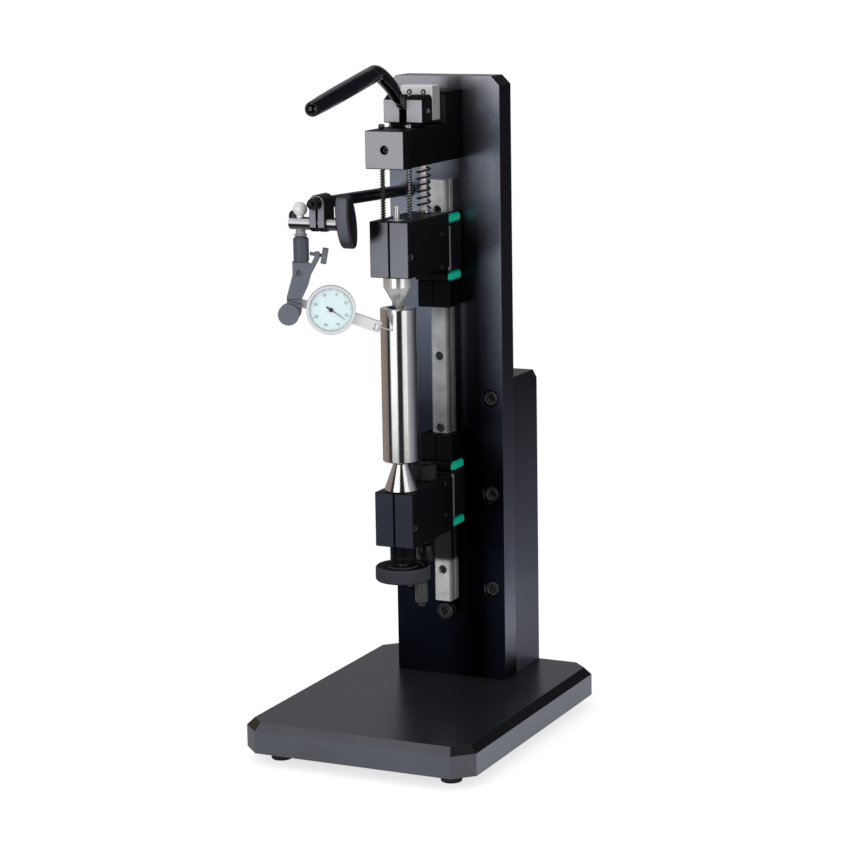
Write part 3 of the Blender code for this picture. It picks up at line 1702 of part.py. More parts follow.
def make_fine_adjustment(fine_turn, screw_turn, knob_turn):
    """The forked body that tilts on the barrel's tongue, its thumb screw and the dovetail clamp."""
    low = fine_top - fine_body_length
    slant = math.radians(fine_screw_turn_deg)
    screw_at = Vector((fine_screw_center_across, 0, fine_top + fine_screw_center_rise))
    screw_along = Vector((math.cos(slant), 0, -math.sin(slant)))
    half_bore = barrel_diameter / 2
    branch_left = fine_branch_across - fine_branch_width / 2
    branch_right = branch_left + fine_branch_width
    branch_top = fine_top + fine_branch_rise
    outline = [
        (-half_bore - fine_edge_cut, fine_top),
        (-half_bore - fine_edge_cut, fine_pivot_z - fine_edge_cut),
        (clamp_center_across - clamp_top_width * 0.12, low),
        (clamp_center_across + clamp_top_width * 0.88, low),
        (half_bore * 0.8, (low + fine_pivot_z) / 2),
        (half_bore * 1.2, fine_pivot_z - fine_edge_cut * 3),
        (branch_right, fine_top + fine_branch_rise * 0.4),
        (branch_right, branch_top),
        (branch_left, branch_top),
        (branch_left, fine_top + fine_branch_rise * 0.4),
        (half_bore * 1.18, fine_top - fine_edge_cut * 4),
        (half_bore * 0.74, fine_top),
    ]
    body = plate(
        "fine_adjust_body", outline, fine_thickness, (0, 0, 0), face_on, swivel_frame
    )
    soften(body, fine_edge_cut, limit_deg=60)
    slot_half = barrel_tongue_thickness / 2 + gap
    cut(
        body,
        block(
            "fine_body_slot",
            (-half_bore - overrun * 2, -slot_half, barrel_low - barrel_tongue_length - gap),
            (half_bore * 0.7, slot_half, fine_top + overrun),
            swivel_frame,
        ),
        rod(
            "fine_pivot_bore",
            fine_pivot_diameter + 2 * gap,
            (fine_pivot_across, -fine_thickness, fine_pivot_z),
            (fine_pivot_across, fine_thickness, fine_pivot_z),
            small_sides,
            frame=swivel_frame,
        ),
        rod(
            "fine_screw_bore",
            fine_screw_diameter + 2 * gap,
            screw_at - screw_along * (fine_screw_center_across - half_bore),
            screw_at + screw_along * overrun,
            small_sides,
            frame=swivel_frame,
        ),
    )
    paint(body, black_anodised)

    head_low = -fine_thickness / 2 - gap
    pivot = rod(
        "fine_pivot_screw",
        fine_pivot_diameter,
        (fine_pivot_across, head_low - fine_pivot_head_length / 2, fine_pivot_z),
        (fine_pivot_across, fine_thickness / 2, fine_pivot_z),
        small_sides,
        frame=swivel_frame,
    )
    join(
        pivot,
        rod(
            "fine_pivot_screw_head",
            fine_pivot_head,
            (fine_pivot_across, head_low - fine_pivot_head_length, fine_pivot_z),
            (fine_pivot_across, head_low, fine_pivot_z),
            small_sides,
            frame=swivel_frame,
        ),
    )
    paint(pivot, polished_steel)

    knob_half = fine_screw_knob_length / 2
    thumb_screw = rod(
        "fine_adjust_screw",
        fine_screw_knob,
        screw_at - screw_along * knob_half,
        screw_at + screw_along * knob_half,
        frame=swivel_frame,
    )
    soften(thumb_screw, fine_edge_cut)
    reach = (fine_screw_center_across - half_bore) / math.cos(slant) - 2 * gap
    join(
        thumb_screw,
        rod(
            "fine_adjust_screw_thread",
            fine_screw_diameter,
            screw_at - screw_along * reach,
            screw_at,
            small_sides,
            frame=swivel_frame,
        ),
    )
    paint(thumb_screw, black_oxide)
    carry(fine_turn, body, pivot)
    carry(screw_turn, thumb_screw)

    front, back = -clamp_front, clamp_depth - clamp_front
    top = low - gap
    clamp = rod(
        "dovetail_clamp",
        clamp_round,
        (clamp_center_across, front, clamp_z),
        (clamp_center_across, back, clamp_z),
        frame=swivel_frame,
    )
    join(
        clamp,
        block(
            "dovetail_clamp_top",
            (clamp_center_across - clamp_top_width * 0.10, front, clamp_z - clamp_round * 0.1),
            (clamp_center_across + clamp_top_width * 0.85, back, top),
            swivel_frame,
        ),
    )
    stud_end = front - clamp_knob_length * 0.6
    join(
        clamp,
        rod(
            "dovetail_clamp_stud",
            clamp_knob_stud,
            (clamp_center_across, stud_end, clamp_z),
            (clamp_center_across, 0, clamp_z),
            small_sides,
            frame=swivel_frame,
        ),
    )
    half_tail = dovetail_height / 2 + dovetail_groove_clearance
    tail_front = -stylus_plane - dovetail_depth / 2 - dovetail_groove_clearance
    tail_end = -dovetail_reach - dovetail_groove_clearance
    cut(
        clamp,
        block(
            "dovetail_groove",
            (tail_end, tail_front, -dovetail_drop - half_tail),
            (0, back + overrun, -dovetail_drop + half_tail),
            indicator_frame,
        ),
    )
    paint(clamp, black_anodised)
    knob_back = front - gap
    knob_front = knob_back - clamp_knob_length
    knob = rod(
        "dovetail_clamp_knob",
        clamp_knob,
        (clamp_center_across, knob_front, clamp_z),
        (clamp_center_across, knob_back, clamp_z),
        fine_sides,
        frame=swivel_frame,
    )
    soften(knob, clamp_knob_edge_cut)
    cut(
        knob,
        rod(
            "clamp_knob_bore",
            clamp_knob_stud + 2 * gap,
            (clamp_center_across, stud_end - gap, clamp_z),
            (clamp_center_across, knob_back + overrun, clamp_z),
            small_sides,
            frame=swivel_frame,
        ),
    )
    paint(knob, black_anodised)
    carry(fine_turn, clamp)
    carry(knob_turn, knob)


def make_indicator(fine_turn, bezel_turn, pointer_turn, stylus_turn):
    """Body, bezel, dial, glass, pointer and stylus, in the frame of the indicator's long axis."""
    frame = indicator_frame
    bezel_back = -bezel_front + bezel_thickness
    body_front = bezel_back + gap
    body_back = body_front + body_thickness
    middle_y = -stylus_plane
    body = rod(
        "indicator_body",
        body_diameter,
        (0, body_front, 0),
        (0, body_back, 0),
        frame=frame,
    )
    soften(body, body_edge_cut)
    half_nose, half_depth = nose_width / 2, nose_depth / 2
    tail_half = dovetail_height / 2
    join(
        body,
        block(
            "indicator_nose",
            (body_diameter / 4, middle_y - half_depth, -nose_drop - half_nose),
            (nose_ear_end, middle_y + half_depth, -nose_drop + half_nose),
            frame,
        ),
        block(
            "indicator_dovetail",
            (-dovetail_reach, middle_y - dovetail_depth / 2, -dovetail_drop - tail_half),
            (-body_diameter / 4, middle_y + dovetail_depth / 2, -dovetail_drop + tail_half),
            frame,
        ),
    )
    cut(
        body,
        block(
            "indicator_nose_slot",
            (nose_end, middle_y - nose_depth, -nose_drop - nose_slot / 2),
            (nose_ear_end + overrun, middle_y + nose_depth, -nose_drop + nose_slot / 2),
            frame,
        ),
        rod(
            "indicator_pointer_bore",
            pointer_pin + 2 * gap,
            (0, body_front - overrun, 0),
            (0, body_front + body_thickness / 3, 0),
            small_sides,
            frame=frame,
        ),
    )
    paint(body, satin_chrome)
    carry(fine_turn, body)

    inner = bezel_diameter - 2 * bezel_wall
    lip = inner - 2 * bezel_lip
    profile = [
        (bezel_diameter - 2 * bezel_edge_cut, bezel_front),
        (bezel_diameter, bezel_front - bezel_edge_cut),
        (bezel_diameter, bezel_front - bezel_thickness),
        (inner, bezel_front - bezel_thickness),
        (inner, bezel_front - bezel_edge_cut),
        (lip, bezel_front),
    ]
    bezel = turned(
        "indicator_bezel", profile, (0, 0, 0), -BACK, fine_sides, closed=True, frame=frame
    )
    paint(bezel, satin_chrome)
    fit = inner - 2 * gap
    dial_front = -bezel_front + dial_sink
    dial = rod(
        "indicator_dial",
        fit,
        (0, dial_front, 0),
        (0, dial_front + dial_thickness, 0),
        fine_sides,
        frame=frame,
    )
    cut(
        dial,
        rod(
            "dial_pin_hole",
            pointer_pin + 2 * gap,
            (0, dial_front - overrun, 0),
            (0, dial_front + dial_thickness + overrun, 0),
            small_sides,
            frame=frame,
        ),
    )
    paint(dial, dial_blue)
    glass_front = -bezel_front + bezel_edge_cut + gap
    glass = rod(
        "indicator_glass",
        fit,
        (0, glass_front, 0),
        (0, glass_front + glass_thickness, 0),
        fine_sides,
        frame=frame,
    )
    paint(glass, clear_glass, 0.15)
    carry(bezel_turn, bezel, dial, glass)

    pointer_y = (glass_front + glass_thickness + dial_front) / 2
    half = pointer_width / 2
    aim = math.radians(pointer_turn_deg - indicator_slope_deg)
    hub = arc((0, 0), pointer_hub / 2, 20, 160, 6)
    hub_lower = arc((0, 0), pointer_hub / 2, 200, 340, 6)
    outline = [(pointer_length, half / 2)] + hub + [(-pointer_tail, half), (-pointer_tail, -half)]
    outline += hub_lower + [(pointer_length, -half / 2)]
    pointer_frame = frame @ Matrix.Rotation(-aim, 4, "Y")
    pointer = plate(
        "indicator_pointer", outline, pointer_thickness, (0, pointer_y, 0), face_on, pointer_frame
    )
    join(
        pointer,
        rod(
            "pointer_pin",
            pointer_pin,
            (0, pointer_y, 0),
            (0, body_front + body_thickness / 4, 0),
            small_sides,
            frame=frame,
        ),
    )
    paint(pointer, black_oxide)
    carry(pointer_turn, pointer)

    hub_half = stylus_hub_height / 2
    pivot_at = Vector((stylus_pivot_reach, middle_y, -nose_drop))
    stylus = rod(
        "stylus",
        stylus_hub,
        pivot_at - UP * hub_half,
        pivot_at + UP * hub_half,
        small_sides,
        frame=frame,
    )
    tip_reach = mandrel_diameter / 2 + gap + stylus_ball / 2
    tip_world = Vector(
        (
            stylus_tip_side,
            axis_y - math.sqrt(tip_reach**2 - stylus_tip_side**2),
            stylus_tip_z,
        )
    )
    tip = frame.inverted() @ tip_world
    join(
        stylus,
        rod("stylus_wire", stylus_wire, pivot_at, tip, small_sides, stylus_wire * 0.6, frame),
        ball("stylus_ball", stylus_ball, tip, frame),
    )
    paint(stylus, polished_steel)
    carry(stylus_turn, stylus)


stylus_tip_z = (indicator_frame @ Vector((stylus_pivot_reach, 0, 0))).z - stylus_tip_drop


def build():
    make_base()
    make_column()
    make_rail()
    make_head()
    lever_axis = joint("lever_axis", lever_pivot, ACROSS)
    make_lever(lever_axis)
    upper_slide = joint("upper_slide_axis", (0, axis_y, upper_holder_z))
    make_upper_carriage(upper_slide)
    make_springs()
    lower_slide = joint("lower_slide_axis", (0, axis_y, lower_holder_z))
    make_lower_carriage(lower_slide)
    spin = joint("spindle_axis", (0, axis_y, lower_cone_low), UP, lower_slide)
    make_spindle(spin)

    swing = joint("arm_swing_axis", root_ball_at, UP)
    block_turn = joint("arm_block_axis", arm_front, -arm_along, swing)
    shaft_turn = joint("cross_shaft_axis", (swivel_x, shaft_y, shaft_z), ACROSS, block_turn)
    paddle_turn = joint("paddle_axis", (shaft_right, shaft_y, shaft_z), ACROSS, shaft_turn)
    make_arm(swing, block_turn, shaft_turn, paddle_turn)
    swivel_turn = joint("swivel_axis", (swivel_x, shaft_y, neck_top), UP, shaft_turn)
    make_swivel(swivel_turn)

    towards = swivel_frame.to_3x3() @ -BACK
    pivot = swivel_frame @ Vector((fine_pivot_across, 0, fine_pivot_z))
    fine_turn = joint("fine_adjust_axis", pivot, towards, swivel_turn)
    slant = math.radians(fine_screw_turn_deg)
    screw_at = Vector((fine_screw_center_across, 0, fine_top + fine_screw_center_rise))
    screw_along = swivel_frame.to_3x3() @ Vector((math.cos(slant), 0, -math.sin(slant)))
    screw_turn = joint("fine_screw_axis", swivel_frame @ screw_at, screw_along, fine_turn)
    knob_at = swivel_frame @ Vector((clamp_center_across, 0, clamp_z))
    knob_turn = joint("clamp_knob_axis", knob_at, towards, fine_turn)
    make_fine_adjustment(fine_turn, screw_turn, knob_turn)

    dial_at = indicator_frame.translation
    bezel_turn = joint("bezel_axis", dial_at, towards, fine_turn)
    pointer_turn = joint("pointer_axis", dial_at, towards, fine_turn)
    stylus_at = indicator_frame @ Vector((stylus_pivot_reach, -stylus_plane, -nose_drop))
    stylus_axis = indicator_frame.to_3x3() @ UP
    stylus_turn = joint("stylus_axis", stylus_at, stylus_axis, fine_turn)
    make_indicator(fine_turn, bezel_turn, pointer_turn, stylus_turn)


build()
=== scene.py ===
"""Vertical bench center: a black column with a rail, two sliding centers, a test cylinder held
between them and an indicator on a jointed arm, dressed for the picture."""

import math

import bpy
from mathutils import Matrix, Vector


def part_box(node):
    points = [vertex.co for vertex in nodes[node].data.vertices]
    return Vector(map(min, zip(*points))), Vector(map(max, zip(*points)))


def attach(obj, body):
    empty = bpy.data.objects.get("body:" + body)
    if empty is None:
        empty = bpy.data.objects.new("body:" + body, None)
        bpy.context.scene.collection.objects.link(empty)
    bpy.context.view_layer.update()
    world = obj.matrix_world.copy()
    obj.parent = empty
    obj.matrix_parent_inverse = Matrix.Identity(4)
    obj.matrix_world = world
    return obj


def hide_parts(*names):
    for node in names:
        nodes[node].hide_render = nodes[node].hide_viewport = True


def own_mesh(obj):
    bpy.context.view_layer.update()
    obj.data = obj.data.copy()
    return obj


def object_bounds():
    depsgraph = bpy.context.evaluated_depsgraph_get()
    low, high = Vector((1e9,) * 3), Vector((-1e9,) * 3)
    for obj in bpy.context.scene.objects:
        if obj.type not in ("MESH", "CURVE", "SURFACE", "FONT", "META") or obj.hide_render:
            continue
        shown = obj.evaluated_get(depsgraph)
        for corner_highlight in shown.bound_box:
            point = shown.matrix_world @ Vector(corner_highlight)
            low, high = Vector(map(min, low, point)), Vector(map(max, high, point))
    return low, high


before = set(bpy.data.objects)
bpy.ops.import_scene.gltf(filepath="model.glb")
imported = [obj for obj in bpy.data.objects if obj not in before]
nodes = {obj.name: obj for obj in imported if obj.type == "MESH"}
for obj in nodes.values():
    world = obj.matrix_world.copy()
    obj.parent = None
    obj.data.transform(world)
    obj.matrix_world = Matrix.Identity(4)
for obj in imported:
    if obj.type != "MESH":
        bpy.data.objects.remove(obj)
cad_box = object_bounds()


# Base plate: a thick aluminium plate, milled, blasted and black anodised, with its corners cut
# off and its top edge chamfered. Its front, right-hand and top faces and its front chamfer get
# painted light tones of their own. The column and the four rubber feet are screwed to it.
def lay_out(tree):
    """Set a tree's nodes side by side, so that it reads in the editor."""
    for step, node in enumerate(tree.nodes):
        node.location = (220 * (step % 8), -260 * (step // 8))


def feed(tree, socket, value):
    """Give a socket a value, or the output that feeds it. A colour needs no fourth number."""
    if isinstance(value, bpy.types.NodeSocket):
        tree.links.new(value, socket)
    elif socket.type == "RGBA" and len(value) == 3:
        socket.default_value = (*value, 1)
    else:
        socket.default_value = value


def add(tree, kind, sockets=(), **settings):
    """Add a shader node with its settings, and feed its sockets."""
    node = tree.nodes.new("ShaderNode" + kind)
    for name, value in settings.items():
        setattr(node, name, value)
    for key, value in dict(sockets).items():
        feed(tree, node.inputs[key], value)
    return node


def calc(tree, operation, *values):
    """The answer of a sum on values or outputs."""
    return add(tree, "Math", enumerate(values), operation=operation).outputs[0]


def spread(tree, value, least, most, low=0.0, high=1.0, kind="LINEAR"):
    """Turn a value's way from least to most into a way from low to high."""
    sockets = {"Value": value, "From Min": least, "From Max": most, "To Min": low, "To Max": high}
    return add(tree, "MapRange", sockets, interpolation_type=kind).outputs["Result"]


def blend(tree, share, first, second, kind="MIX"):
    """Blend two colours by a share."""
    sockets = {"Factor": share, "A": first, "B": second}
    return add(tree, "Mix", sockets, data_type="RGBA", blend_type=kind).outputs["Result"]


def vector_sum(tree, operation, first, second, answer="Vector"):
    """The answer of a sum on two vectors or colours; a scale's second operand is a number."""
    second_socket = "Scale" if operation == "SCALE" else 1
    return add(tree, "VectorMath", {0: first, second_socket: second}, operation=operation).outputs[answer]


def noise(tree, place, scale, **sockets):
    """Soft noise of one scale."""
    return add(tree, "TexNoise", {"Vector": place, "Scale": scale, **sockets}).outputs["Fac"]


def ramp(tree, value, marks):
    """Tones along a value's way from 0 to 1: (place, tone) pairs in rising order."""
    made = add(tree, "ValToRGB", {"Fac": value})
    elements = made.color_ramp.elements
    while len(elements) < len(marks):
        elements.new(0.5)
    for element, (place, tone) in zip(elements, marks):
        element.position = place
        element.color = (*tone, 1)
    return made.outputs["Color"]


def axes(tree, kind):
    """X, Y and Z of each point's place on the piece (Object), or of its facing (Normal)."""
    return add(tree, "SeparateXYZ", {"Vector": add(tree, "TexCoord").outputs[kind]}).outputs


def raised(tree, height, strength, distance, edge=0):
    """A surface raised by a height, with its sharp edges softened if asked."""
    sockets = {"Strength": strength, "Distance": distance, "Height": height}
    if edge:
        sockets["Normal"] = add(tree, "Bevel", {"Radius": edge}, samples=6).outputs["Normal"]
    return add(tree, "Bump", sockets).outputs["Normal"]


def group_of(name, inputs, outputs):
    """An empty shader group: a value, colour or vector for each input, and the outputs' names."""
    group = bpy.data.node_groups.new(name, "ShaderNodeTree")
    for label, value in inputs.items():
        kind = "Float" if isinstance(value, float) else "Color" if value and len(value) == 4 else "Vector"
        socket = group.interface.new_socket(label, in_out="INPUT", socket_type="NodeSocket" + kind)
        if value is not None:
            socket.default_value = value
    for label in outputs:
        kind = "Color" if label == "Colour" else "Float"
        group.interface.new_socket(label, in_out="OUTPUT", socket_type="NodeSocket" + kind)
    return group, group.nodes.new("NodeGroupInput").outputs, group.nodes.new("NodeGroupOutput").inputs


def hand_out(group, out, **answers):
    """Link what a group puts out, and lay its nodes out."""
    for label, answer in answers.items():
        group.links.new(answer, out[label])
    lay_out(group)
    return group


def blasted_group():
    """Bead-blasted and anodised skin: soft clouds in the dye and a fine even grain."""
    group, given, out = group_of(
        "blasted_skin", {"Vector": None, "Colour": (0.01, 0.01, 0.01, 1), "Clouds": 0.25, "Roughness": 0.4},
        ["Colour", "Roughness", "Height"],
    )
    clouds = noise(group, given["Vector"], 22, Detail=5)
    grain = noise(group, given["Vector"], 2600, Detail=2)
    swing = calc(group, "MULTIPLY_ADD", clouds, 2, -1)
    tone = calc(group, "MULTIPLY_ADD", swing, given["Clouds"], 1)
    tone = calc(group, "MULTIPLY", tone, spread(group, grain, 0, 1, 0.85, 1.15))
    return hand_out(
        group, out, Colour=vector_sum(group, "SCALE", given["Colour"], tone),
        Roughness=calc(group, "MULTIPLY_ADD", swing, 0.05, given["Roughness"]), Height=grain,
    )


def edge_group():
    """How close a point is to an outer edge, where handling has polished the skin and a painted
    highlight catches it.
    """
    group, given, out = group_of("edge_wear_and_highlight", {"Width": 0.0006, "Amount": 1.0}, ["Mask"])
    rounded = add(group, "Bevel", {"Radius": given["Width"]}, samples=6).outputs["Normal"]
    flat = add(group, "NewGeometry").outputs["Normal"]
    mask = spread(group, vector_sum(group, "DOT_PRODUCT", rounded, flat, "Value"), 0.995, 0.80)
    return hand_out(group, out, Mask=calc(group, "MULTIPLY", mask, given["Amount"]))


def milled_group():
    """Painted light by facing: the front faces, the right-hand ones and the top ones each get a
    painted light or shade tone of their own."""
    dark = (0.01, 0.01, 0.01, 1)
    group, given, out = group_of(
        "painted_facing_light", {"Rest": dark, "Front": (0.1, 0.1, 0.1, 1), "Right": dark, "Top": dark}, ["Colour"]
    )
    facing = axes(group, "Normal")
    colour = given["Rest"]
    for label, axis, sign in (("Front", "Y", -1), ("Right", "X", 1), ("Top", "Z", 1)):
        mask = spread(group, facing[axis], 0.80 * sign, 0.98 * sign, kind="SMOOTHSTEP")
        colour = blend(group, mask, colour, given[label])
    return hand_out(group, out, Colour=colour)


blasted = blasted_group()
edges = edge_group()
facing_light = milled_group()


def new_finish(name):
    """A new material, its tree, and each point's place on the piece."""
    finish = bpy.data.materials.new(name)
    finish.use_nodes = True
    return finish, finish.node_tree, add(finish.node_tree, "TexCoord").outputs["Object"]


def complete(finish, sockets):
    """Feed a finish's shader, and lay its nodes out."""
    tree = finish.node_tree
    for key, value in sockets.items():
        feed(tree, tree.nodes["Principled BSDF"].inputs[key], value)
    lay_out(tree)
    return finish


def colour_of(finish):
    """The output that feeds a finish's colour now."""
    return finish.node_tree.nodes["Principled BSDF"].inputs["Base Color"].links[0].from_socket


def group_in(finish, group):
    """The inputs of the node that stands for a group in a finish."""
    return next(
        node for node in finish.node_tree.nodes if node.type == "GROUP" and node.node_tree == group
    ).inputs


def black_skin(name, colour, rough=0.38, clouds=0.25, wear_and_highlight=0.5, wear_and_highlight_colour=(0.10, 0.10, 0.11),
               front=None, right=None, top=None, metallic=0.0, specular=0.5):
    """Black anodised aluminium, or blackened steel. Front, right and top give the faces turned that
    way a painted light or shade tone; the edge tone is wear and painted highlight together.
    """
    finish, tree, place = new_finish(name)
    skin = add(tree, "Group", node_tree=blasted)
    given = {"Vector": place, "Colour": colour, "Clouds": clouds, "Roughness": rough}
    if front or right or top:
        tones = {"Rest": colour, "Front": front or colour, "Right": right or colour, "Top": top or colour}
        given["Colour"] = add(tree, "Group", tones.items(), node_tree=facing_light).outputs["Colour"]
    for label, value in given.items():
        feed(tree, skin.inputs[label], value)
    wear_and_highlight_mask = add(tree, "Group", {"Amount": wear_and_highlight}, node_tree=edges).outputs["Mask"]
    return complete(finish, {
        "Metallic": metallic, "Specular IOR Level": specular, "Roughness": skin.outputs["Roughness"],
        "Base Color": blend(tree, wear_and_highlight_mask, skin.outputs["Colour"], wear_and_highlight_colour),
        "Normal": raised(tree, skin.outputs["Height"], 0.08, 0.0001, 0.0004),
    })


def finish_with(finish, *names):
    """Give CAD nodes or new pieces their finish."""
    for name in names:
        piece = nodes[name] if isinstance(name, str) else name
        if not piece.material_slots:
            piece.data.materials.append(finish)
        for place in piece.material_slots:
            place.material = finish


def fade(finish, axis, marks, start=0.0):
    """Let a finish fall off along one axis: (place from the start, share of its tone) pairs."""
    tree = finish.node_tree
    least, most = start + marks[0][0], start + marks[-1][0]
    along = spread(tree, axes(tree, "Object")[axis], least, most)
    shares = ramp(tree, along, [
        ((start + place - least) / (most - least), [share] * 3) for place, share in marks
    ])
    return complete(finish, {"Base Color": blend(tree, 1, colour_of(finish), shares, "MULTIPLY")})


# Painted light on the base: a tone each for its front, right-hand and top faces, and a lighter one on its
# front chamfer.
base_dark = (0.003, 0.003, 0.004)
base_skin = black_skin("base_black", base_dark, 0.30, front=(0.104, 0.112, 0.132),
                       right=(0.245, 0.256, 0.300), top=(0.014, 0.016, 0.020),
                       wear_and_highlight_colour=(0.10, 0.105, 0.12))
tree = base_skin.node_tree
chamfer_light = spread(tree, axes(tree, "Normal")["Y"], -0.55, -0.68)
feed(tree, group_in(base_skin, facing_light)["Rest"], blend(tree, chamfer_light, base_dark, (0.095, 0.101, 0.116)))
lay_out(tree)
finish_with(base_skin, "base_plate")


# Rubber feet: four moulded feet with a stepped rim, a slightly domed sole and a recess for the
# screw that holds each one to the base.
def alone(piece):
    """Select one piece and nothing else."""
    bpy.ops.object.select_all(action="DESELECT")
    piece.select_set(True)
    bpy.context.view_layer.objects.active = piece


def fresh(name):
    """The primitive that was just made, named and with its place in its mesh."""
    piece = bpy.context.object
    piece.name = name
    piece.data.name = name
    bpy.ops.object.transform_apply(location=True, rotation=True, scale=True)
    return piece


def weld(piece, reach=0, close=False):
    """Merge points that fall together, close open ends if asked, and face the skin outwards."""
    alone(piece)
    bpy.ops.object.mode_set(mode="EDIT")
    bpy.ops.mesh.select_all(action="SELECT")
    if reach:
        bpy.ops.mesh.remove_doubles(threshold=reach)
    if close:
        bpy.ops.mesh.fill_holes(sides=0)
    bpy.ops.mesh.normals_make_consistent(inside=False)
    bpy.ops.object.mode_set(mode="OBJECT")
    return piece


def turn_piece(name, rings, sides=64):
    """A turned piece about its own Z axis. A disc is drawn up ring by ring: (diameter, height)."""
    bpy.ops.object.select_all(action="DESELECT")
    before, level = rings[0]
    bpy.ops.mesh.primitive_circle_add(
        vertices=sides, radius=before / 2, fill_type="NGON", location=(0, 0, level)
    )
    piece = fresh(name)
    bpy.ops.object.mode_set(mode="EDIT")
    bpy.ops.mesh.select_all(action="SELECT")
    for across, height in rings[1:]:
        bpy.ops.mesh.extrude_region_move(TRANSFORM_OT_translate={"value": (0, 0, height - level)})
        share = across / before
        if abs(share - 1) > 1e-6:
            bpy.ops.transform.resize(value=(share, share, 1), center_override=(0, 0, height))
        before, level = across, height
    bpy.ops.object.mode_set(mode="OBJECT")
    return weld(piece)


def round_edges(piece, width=0, segments=3, smooth_deg=35):
    """Break a piece's sharp edges with a small round, and smooth what is round."""
    alone(piece)
    if width:
        bpy.ops.object.modifier_add(type="BEVEL")
        bevel = piece.modifiers[-1]
        bevel.width = width
        bevel.segments = segments
        bevel.limit_method = "ANGLE"
        bevel.angle_limit = math.radians(30)
        bevel.use_clamp_overlap = True
        bpy.ops.object.modifier_apply(modifier=bevel.name)
    bpy.ops.object.shade_smooth_by_angle(angle=math.radians(smooth_deg))
    return piece


def set_at(piece, place):
    """Put a piece where it belongs, with its place in its mesh."""
    alone(piece)
    piece.matrix_world = place if isinstance(place, Matrix) else Matrix.Translation(place)
    bpy.ops.object.transform_apply(location=True, rotation=True, scale=True)
    return piece


def another(piece, name, place):
    """A copy with a mesh of its own, set at its place."""
    alone(piece)
    bpy.ops.object.duplicate(linked=False)
    return set_at(fresh(name), place)


def middle_of(name):
    """The middle of a CAD node's box."""
    least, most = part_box(name)
    return (Vector(least) + Vector(most)) / 2


def under(name):
    """The place on the table under a CAD node's middle."""
    middle = middle_of(name)
    return Vector((middle.x, middle.y, 0))


def mottled(name, scale, tones, dull, strength, distance, sockets):
    """A moulded or dipped skin: one soft noise moves its tone, its gloss and its surface."""
    finish, tree, place = new_finish(name)
    spots = noise(tree, place, scale, Detail=4)
    return complete(finish, {
        **sockets, "Base Color": ramp(tree, spots, list(enumerate(tones))),
        "Roughness": spread(tree, spots, 0, 1, *dull), "Normal": raised(tree, spots, strength, distance),
    })


rubber = mottled("foot_rubber", 160, [(0.018, 0.018, 0.019), (0.045, 0.045, 0.047)], (0.62, 0.85),
                 0.25, 0.0002, {"Sheen Weight": 0.15})
foot = turn_piece("foot", [
    (0.0076, 0.0024), (0.0082, 0.0004), (0.0150, 0.0), (0.0168, 0.0006), (0.0172, 0.0030), (0.0186, 0.0036),
    (0.0190, 0.0048), (0.0190, 0.0090), (0.0186, 0.0097),
], 72)
round_edges(foot, 0.0004, 2)
for name in [name for name in nodes if name.startswith("foot")]:
    rubber_foot = another(foot, name + "_moulded", under(name))
    finish_with(rubber, rubber_foot)
    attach(rubber_foot, "frame")
    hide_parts(name)
bpy.data.objects.remove(foot)

# Column plate and the stiffener behind it: thick anodised plate, satin enough to mirror what
# stands before it. Its front is painted lighter towards the top, with bands of painted dark
# reflection of the bearings and carriages just right of them, and its right-hand side has a
# painted light that is brightest low down. Six cap screws hold the two together.
painted_light_top = 0.536
column_painted_light = [
    (0.034, (0.014, 0.018, 0.032)), (0.120, (0.020, 0.025, 0.043)), (0.200, (0.014, 0.018, 0.034)),
    (0.260, (0.045, 0.051, 0.074)), (0.320, (0.190, 0.218, 0.292)), (0.345, (0.255, 0.288, 0.370)),
    (0.376, (0.280, 0.312, 0.390)), (0.420, (0.510, 0.552, 0.680)), (0.445, (0.450, 0.488, 0.600)),
    (0.475, (0.340, 0.370, 0.450)), (0.505, (0.520, 0.560, 0.680)), (painted_light_top, (0.820, 0.835, 0.910)),
]
column_side = (0.340, 0.358, 0.460)
side_painted_light = [(0.030, 0.0), (0.042, 0.02), (0.075, 0.9), (0.110, 1.0), (0.190, 0.45), (0.280, 0.13),
            (0.320, 0.06), (painted_light_top, 0.02)]
low_painted_reflection = [(-0.045, 0.60), (-0.005, 0.57), (0.012, 0.20), (0.0190, 0.05), (0.0275, 0.06), (0.0318, 0.20),
            (0.0370, 0.42), (0.0424, 0.56), (0.0490, 0.64)]
high_painted_reflection = [(-0.045, 0.50), (-0.005, 0.40), (0.0140, 0.12), (0.0194, 0.28), (0.0265, 0.44), (0.0318, 0.62),
             (0.0370, 0.72), (0.0424, 0.75), (0.0490, 0.62)]
column_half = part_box("column_plate")[1][0]
plate_dark = (0.008, 0.009, 0.012)
column_skin = black_skin("column_black", plate_dark, 0.27, 0.12, front=(0.1, 0.1, 0.1), right=column_side,
                         top=(0.03, 0.031, 0.034), metallic=0.85, wear_and_highlight=0.35, wear_and_highlight_colour=(0.20, 0.20, 0.22))
tree = column_skin.node_tree
place = axes(tree, "Object")
height = spread(tree, place["Z"], 0, painted_light_top)
front_painted_light = ramp(tree, height, [(level / painted_light_top, tone) for level, tone in column_painted_light])
across = spread(tree, place["X"], -column_half, column_half)
